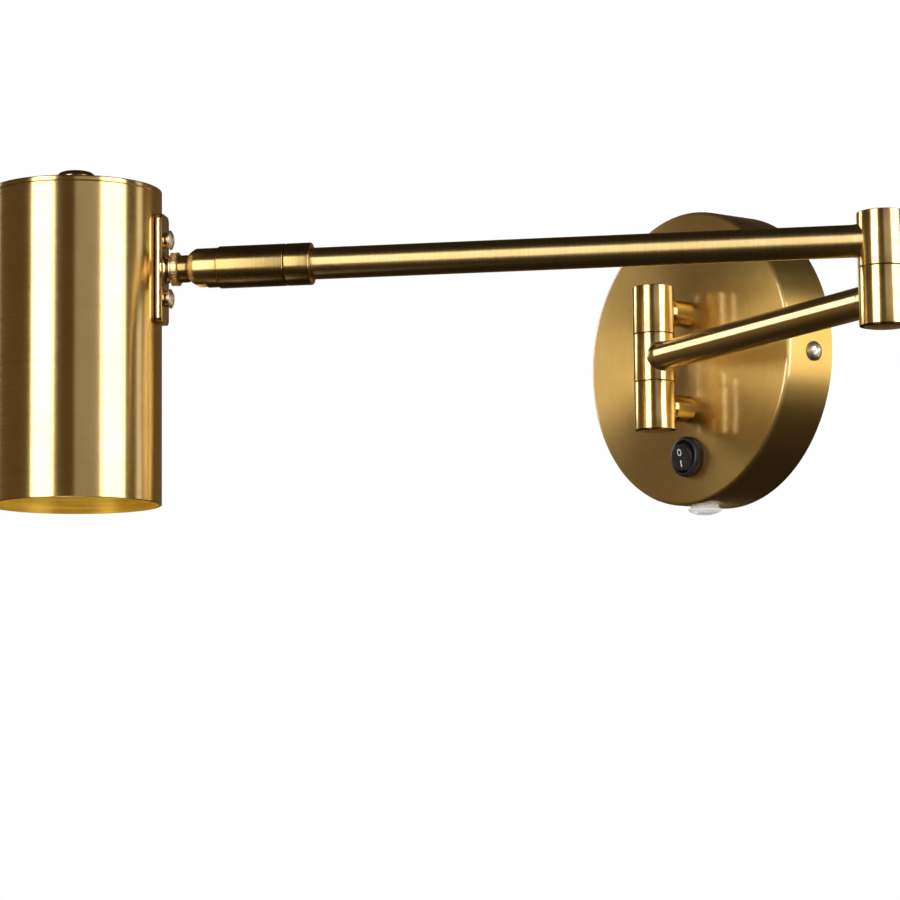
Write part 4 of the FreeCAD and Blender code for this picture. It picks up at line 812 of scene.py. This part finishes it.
def swivel_nose():
    """The domed nose that holds the ball, slotted from its tip for the stem to tilt in."""
    outline = [(248.6, 6.4), (239.5, 6.4), (239.5, 6.8), (SLEEVE_END, 6.8), (SLEEVE_END, 7.3),
               (248.7, NOSE_BACK_RADIUS), (BALL + 3.05, NOSE_BACK_RADIUS)]
    outline += rounded(BALL, 0, NOSE_RADIUS, 22.2, 65, 8)[1:]
    outline += rounded(BALL, 0, SOCKET_RADIUS, 59, 0, 8)
    outline.append((248.6, 6.4))
    nose = turned("swivel_nose", outline, outer_place, sides=96)
    slot_place = outer_place @ Matrix.Translation((-4.5, 0, BALL + 4.2))
    cut(nose, block("slot_cutter", (9.0, 6.4, 10.5), slot_place))
    finish_piece(nose, nose_brass_painted_shade, "swivel", "socket_nose", slot="satin_brass")


def swivel_ball():
    """The ball in the nose."""
    outline = [(BALL - BALL_RADIUS, 0)]
    outline += rounded(BALL, 0, BALL_RADIUS, -80, 80, 20)
    outline.append((BALL + BALL_RADIUS, 0))
    ball = turned("swivel_ball_turned", outline, outer_place, sides=48)
    finish_piece(ball, polished_brass, "stem", "swivel_ball", slot="satin_brass")


def swivel_neck():
    """The stem: its neck is hollowed at the back to clear the nose, and a rod runs on from it."""
    outline = [(BALL + 4.0, 0), (BALL + 4.0, 2.95), (BALL + 7.7, 2.95)]
    outline += rounded(BALL, 0, STEM_HOLLOW_RADIUS, 69, 52, 5)
    outline += [(BALL + 6.9, NECK_RADIUS), (BALL + 10.0, NECK_RADIUS), (BALL + 10.05, STEM_RADIUS),
                (STEM_END, STEM_RADIUS), (STEM_END, 0)]
    neck = turned("swivel_neck", outline, outer_place, sides=64)
    finish_piece(neck, swivel_brass_painted_shade, "stem", "swivel_stem", slot="satin_brass")


def lock_nut():
    """The knurled nut: every other flat of its rim is pressed in."""
    bore = 4.05
    outline = [(NUT_BACK, bore), (NUT_BACK, 5.9), (KNURL_BACK, NUT_RADIUS), (KNURL_FRONT, NUT_RADIUS),
               (266.3, 5.9), (266.6, 5.9), (266.7, 6.3), (NUT_FRONT, 6.3), (NUT_FRONT, bore),
               (NUT_BACK, bore)]
    nut = turned("lock_nut_knurled", outline, outer_place, sides=72)
    only(nut)
    bpy.context.tool_settings.mesh_select_mode = (False, False, True)
    across = OUTER.cross(UP)
    for face in nut.data.polygons:
        offset = face.center - ARM * MM
        along = offset.dot(OUTER)
        spin = math.degrees(math.atan2(offset.dot(UP), offset.dot(across))) % 360
        in_band = KNURL_BACK < along / MM < KNURL_FRONT and abs(face.normal.dot(OUTER)) < 0.2
        outermost = (offset - OUTER * along).length > 6.0 * MM
        face.select = in_band and outermost and int(spin / KNURL_PITCH) % 2 == 0
    bpy.ops.object.mode_set(mode="EDIT")
    bpy.ops.mesh.inset(thickness=0.05 * MM, depth=-0.28 * MM, use_individual=True)
    bpy.ops.object.mode_set(mode="OBJECT")
    bpy.ops.object.shade_smooth_by_angle(angle=math.radians(30))
    finish_piece(nut, nut_brass, "stem", "lock_nut", slot="satin_brass")


arm_end_ring()
swivel_barrel()
swivel_nose()
swivel_ball()
swivel_neck()
lock_nut()


# ---- bracket -----------------------------------------------------------------------------------------

def bracket_bar():
    """The bar on the shade's side, its four corners well rounded and then every edge broken."""
    bar = raw_box("bracket_bar", BAR_SIZE)
    bpy.ops.object.mode_set(mode="OBJECT")
    bpy.context.tool_settings.mesh_select_mode = (False, True, False)
    for edge in bar.data.edges:
        first, second = (bar.data.vertices[index].co for index in edge.vertices)
        edge.select = abs(first.z - second.z) > 1
    for face in bar.data.polygons:
        face.select = False
    bpy.ops.object.mode_set(mode="EDIT")
    bpy.ops.mesh.bevel(offset=2.4, segments=6, affect="EDGES")
    bpy.ops.mesh.select_all(action="SELECT")
    bpy.ops.mesh.bevel(offset=0.3, segments=2, affect="EDGES", clamp_overlap=True)
    bpy.ops.object.mode_set(mode="OBJECT")
    return placed(bar, outer_place @ Matrix.Translation((0, 0, BAR_MIDDLE)))


def bracket_boss():
    """The flared boss between the lock nut and the bar."""
    bore = 4.1
    outline = [(NUT_FRONT, bore), (NUT_FRONT, 4.95), (267.6, 5.0), (268.2, 5.1), (268.8, 5.35),
               (269.3, 5.8), (269.75, 6.6), (270.2, 6.6), (270.2, bore), (NUT_FRONT, bore)]
    return turned("bracket_boss", outline, outer_place, sides=64)


def bracket_screws():
    """The two screws of the bracket, each head on a flared collar."""
    bore = 1.8
    outline = [(COLLAR_BACK, bore), (COLLAR_BACK, 2.7), (COLLAR_BACK + 0.3, 3.0), (269.3, 3.0),
               (COLLAR_FRONT, 3.2), (COLLAR_FRONT, bore), (COLLAR_BACK, bore)]
    facing_back = Matrix.Rotation(math.pi, 4, "X")
    collars = []
    heads = []
    for side, name in ((1, "upper"), (-1, "lower")):
        centre = outer_place @ Matrix.Translation((side * BRACKET_SCREW_SPREAD, 0, 0))
        collars.append(turned("bracket_collar_" + name, outline, centre, sides=40))
        head_place = centre @ Matrix.Translation((0, 0, COLLAR_BACK)) @ facing_back
        heads.append(screw_head("bracket_screw_" + name, BRACKET_SCREW_RADIUS, BRACKET_SCREW_HEIGHT,
                                head_place))
    finish_piece(joined("bracket_collar_pair", collars), polished_brass, "head", "bracket_collars",
                 slot="satin_brass")
    finish_piece(joined("bracket_screw_heads", heads), screw_nickel, "head", "bracket_screws",
                 slot="nickel_screws")


bar_and_boss = joined("bracket_bar", [bracket_bar(), bracket_boss()])
finish_piece(bar_and_boss, polished_brass, "head", "bracket_plate", slot="satin_brass")
bracket_screws()


# ---- shade -------------------------------------------------------------------------------------------

shade_place = Matrix.Translation(SHADE)
SHADE_STEPS = (-60, -30, 0)


def shade_tube():
    """The shade's outside and its lining, which faces inwards and has a finish of its own: a deeper gold
    that paints in light bounced round inside the shade.
    """
    top = SHADE_SEAM - SEAM_GAP
    outline = [(SHADE_FOOT, SHADE_INSIDE), (SHADE_FOOT, SHADE_RADIUS - 0.2),
               (SHADE_FOOT + 0.2, SHADE_RADIUS)]
    outline += [(height, SHADE_RADIUS) for height in SHADE_STEPS]
    outline += [(SHADE_SEAM - 0.3, SHADE_RADIUS), (top, SHADE_RADIUS - 0.25), (top, SHADE_INSIDE)]
    outside = turned("shade_outside", outline, shade_place, sides=192)
    outline = [(height, SHADE_INSIDE) for height in (SHADE_FOOT, *SHADE_STEPS, top)]
    lining = turned("shade_inside", outline, shade_place, sides=192)
    turn_faces(lining, inwards=True)
    finish_piece(outside, shade_brass, "head", "shade_tube", slot="satin_brass")
    finish_piece(lining, shade_inside, "head", slot="satin_brass")


def shade_cap():
    """The flat cap on the shade, above a fine seam."""
    edge = 0.5
    bottom = SHADE_SEAM + SEAM_GAP
    outline = [(bottom, 0), (bottom, SHADE_RADIUS - 0.35), (bottom + 0.3, SHADE_RADIUS)]
    outline += rounded(SHADE_TOP - edge, SHADE_RADIUS - edge, edge, 0, 90, 4)
    outline += [(SHADE_TOP, 20), (SHADE_TOP, 0)]
    cap = turned("shade_cap", outline, shade_place, sides=192, smooth=25)
    finish_piece(cap, shade_brass, "head", "shade_top_cap", slot="satin_brass")


def shade_knob():
    """The knob above the cap, its top rounded over."""
    shoulder = SHADE_TOP + KNOB_HEIGHT - KNOB_ROUND
    outline = [(SHADE_TOP, 0), (SHADE_TOP, KNOB_RADIUS - 0.4), (SHADE_TOP + 0.3, KNOB_RADIUS),
               (shoulder, KNOB_RADIUS)]
    outline += rounded(shoulder, KNOB_RADIUS - KNOB_ROUND, KNOB_ROUND, 0, 90, 8)
    outline.append((SHADE_TOP + KNOB_HEIGHT, 0))
    knob = turned("shade_knob", outline, shade_place, sides=72)
    finish_piece(knob, polished_brass, "head", "top_knob", slot="satin_brass")


shade_tube()
shade_cap()
shade_knob()

# ---- finishes of the pieces kept as they are ---------------------------------------------------------

KEPT_PIECES = (
    (zinc, ("stiffener_plate", "mounting_bracket", "standoff_nuts", "wall_pivot_tube", "elbow_pivot_tube",
            "arm_end_journal", "journal_nut", "seat_spring_washers", "seat_plug", "bracket_nuts",
            "holder_nipple", "nipple_nut")),
    (contact_brass, ("earth_screw", "terminal_screws", "switch_terminals", "contact_shell", "bulb_base")),
    (white_moulding, ("terminal_block", "gland_nut", "lampholder_insert")),
    (bearing_moulding, ("wall_pivot_washers", "elbow_washer", "ball_seat")),
    (lead_moulding, ("plate_leads", "inner_arm_lead", "outer_arm_lead", "head_lead")),
    (black_moulding, ("lampholder_shell",)),
    (bulb_glass, ("bulb_globe",)),
)
for finish, kept_names in KEPT_PIECES:
    for kept_name in kept_names:
        paint(nodes[kept_name], finish)

# ---- camera ------------------------------------------------------------------------------------------

AZIMUTH = math.radians(52.46)
RISE = math.radians(6.82)
ROLL = math.radians(-0.60)
CAMERA_PLACE = Vector((961.71, -887.17, -191.17))
PICTURE_WIDTH = 900
FOCAL_PIXELS = 3144.92
SENSOR_WIDTH = 36.0

ahead = Vector((-math.sin(AZIMUTH) * math.cos(RISE), math.cos(AZIMUTH) * math.cos(RISE), math.sin(RISE)))
level = Vector((math.cos(AZIMUTH), math.sin(AZIMUTH), 0))
top = level.cross(ahead)
right = level * math.cos(ROLL) + top * math.sin(ROLL)
above = top * math.cos(ROLL) - level * math.sin(ROLL)
lens = bpy.data.cameras.new("camera")
lens.sensor_width = SENSOR_WIDTH
lens.lens = FOCAL_PIXELS / PICTURE_WIDTH * SENSOR_WIDTH
camera = bpy.data.objects.new("camera", lens)
bpy.context.scene.collection.objects.link(camera)
camera_turn = Matrix((right, above, -ahead)).transposed().to_4x4()
camera.matrix_world = Matrix.Translation(CAMERA_PLACE * MM) @ camera_turn
bpy.context.scene.camera = camera

# ---- studio lamps ------------------------------------------------------------------------------------

MIDDLE = Vector((0.03, -0.16, 0.0))
TO_CAMERA = math.atan2(-ahead.y, -ahead.x)
UNDER_SHADE = (SHADE + UP * (SHADE_FOOT - 30)) * MM


def softbox(name, swing, height, distance, width, tall, radiance):
    """A soft lamp that faces the middle; swing is its angle round from the camera, height its elevation."""
    around = TO_CAMERA + math.radians(swing)
    lift = math.radians(height)
    way = Vector((math.cos(around) * math.cos(lift), math.sin(around) * math.cos(lift), math.sin(lift)))
    light = bpy.data.lights.new(name, "AREA")
    light.shape = "RECTANGLE"
    light.size = width
    light.size_y = tall
    light.energy = radiance * math.pi * width * tall
    lamp = bpy.data.objects.new(name, light)
    bpy.context.scene.collection.objects.link(lamp)
    lamp.location = MIDDLE + way * distance
    lamp.rotation_mode = "QUATERNION"
    lamp.rotation_quaternion = way.to_track_quat("Z", "Y")
    lamp.visible_camera = False
    return lamp


softbox("strip_left", swing=-40.6, height=9, distance=2.2, width=1.14, tall=1.9, radiance=4.2)
softbox("strip_right", swing=56, height=9, distance=2.17, width=1.41, tall=1.9, radiance=4.0)
softbox("rear_right", swing=101, height=9, distance=2.4, width=0.45, tall=1.7, radiance=0.9)
softbox("behind_camera", swing=22, height=12, distance=2.9, width=2.0, tall=1.6, radiance=0.38)
softbox("far_left", swing=-126, height=14, distance=2.6, width=0.8, tall=1.0, radiance=3.3)
under_shade = softbox("under_shade", swing=0, height=0, distance=0, width=0.06, tall=0.06, radiance=1.1)
under_shade.location = UNDER_SHADE
under_shade.rotation_quaternion = (-UP).to_track_quat("Z", "Y")

# ---- studio room -------------------------------------------------------------------------------------

WALL_BLACK = (0.0, 0.0, 0.0, 1.0)
WALL_GLOW = (1.0, 0.62, 0.28, 1.0)
WALL_RADIUS = 3.2
FLOOR_PAINT = (0.9, 0.9, 0.9, 1.0)
FLOOR_CENTRE = (0.0, -0.2, -0.62)
FLOOR_RADIUS = 1.6


def white_air(tree, strength):
    """Even white light from all round."""
    node = tree.nodes.new("ShaderNodeBackground")
    node.inputs["Color"].default_value = (1, 1, 1, 1)
    node.inputs["Strength"].default_value = strength
    return node.outputs["Background"]


def ray_is(tree, *kinds):
    """1 for a ray of any of these kinds, and 0 for the others."""
    path = tree.nodes.new("ShaderNodeLightPath")
    answer = path.outputs[kinds[0]]
    for kind in kinds[1:]:
        either = tree.nodes.new("ShaderNodeMath")
        either.operation = "MAXIMUM"
        tree.links.new(answer, either.inputs[0])
        tree.links.new(path.outputs[kind], either.inputs[1])
        answer = either.outputs[0]
    return answer


def studio_air():
    """White behind the lamp where it is looked at, and a softer white where it lights."""
    world = bpy.data.worlds.new("studio")
    bpy.context.scene.world = world
    world.use_nodes = True
    tree = world.node_tree
    tree.nodes.clear()
    output = tree.nodes.new("ShaderNodeOutputWorld")
    blend = tree.nodes.new("ShaderNodeMixShader")
    looked_at = ray_is(tree, "Is Camera Ray", "Is Glossy Ray", "Is Transmission Ray")
    tree.links.new(looked_at, blend.inputs["Fac"])
    tree.links.new(white_air(tree, 0.35), blend.inputs[1])
    tree.links.new(white_air(tree, 1.0), blend.inputs[2])
    tree.links.new(blend.outputs["Shader"], output.inputs["Surface"])


def wall_paint():
    """Black that glows a dim amber at the lamp's height and fades out above and below it."""
    material, tree, shader = new_material("studio_wall_paint")
    coords = tree.nodes.new("ShaderNodeTexCoord")
    parts = tree.nodes.new("ShaderNodeSeparateXYZ")
    height = tree.nodes.new("ShaderNodeMath")
    height.operation = "ABSOLUTE"
    fade = tree.nodes.new("ShaderNodeMapRange")
    fade.interpolation_type = "SMOOTHSTEP"
    fade.inputs["From Min"].default_value = 0.5
    fade.inputs["From Max"].default_value = 2.0
    fade.inputs["To Min"].default_value = 0.11
    fade.inputs["To Max"].default_value = 0.012
    tree.links.new(coords.outputs["Object"], parts.inputs["Vector"])
    tree.links.new(parts.outputs["Z"], height.inputs[0])
    tree.links.new(height.outputs[0], fade.inputs["Value"])
    tree.links.new(fade.outputs["Result"], shader.inputs["Emission Strength"])
    shader.inputs["Base Color"].default_value = WALL_BLACK
    shader.inputs["Emission Color"].default_value = WALL_GLOW
    return material


def floor_paint():
    """Matt off-white."""
    material, tree, shader = new_material("studio_floor_paint")
    shader.inputs["Base Color"].default_value = FLOOR_PAINT
    shader.inputs["Roughness"].default_value = 0.9
    return material


studio_air()

# the studio's dark walls, which only the lamp's reflections show
nothing_selected()
bpy.ops.mesh.primitive_uv_sphere_add(segments=48, ring_count=24, radius=WALL_RADIUS, location=MIDDLE)
walls = bpy.context.object
walls.name = "studio_walls"
walls.data.materials.append(wall_paint())
for sight in ("visible_camera", "visible_diffuse", "visible_transmission", "visible_shadow",
              "visible_volume_scatter"):
    setattr(walls, sight, False)

nothing_selected()
bpy.ops.mesh.primitive_circle_add(vertices=96, radius=FLOOR_RADIUS, fill_type="NGON",
                                  location=FLOOR_CENTRE)
floor = bpy.context.object
floor.name = "studio_floor"
floor.data.materials.append(floor_paint())
floor.visible_glossy = False

scene = bpy.context.scene
scene.view_settings.view_transform = "Standard"
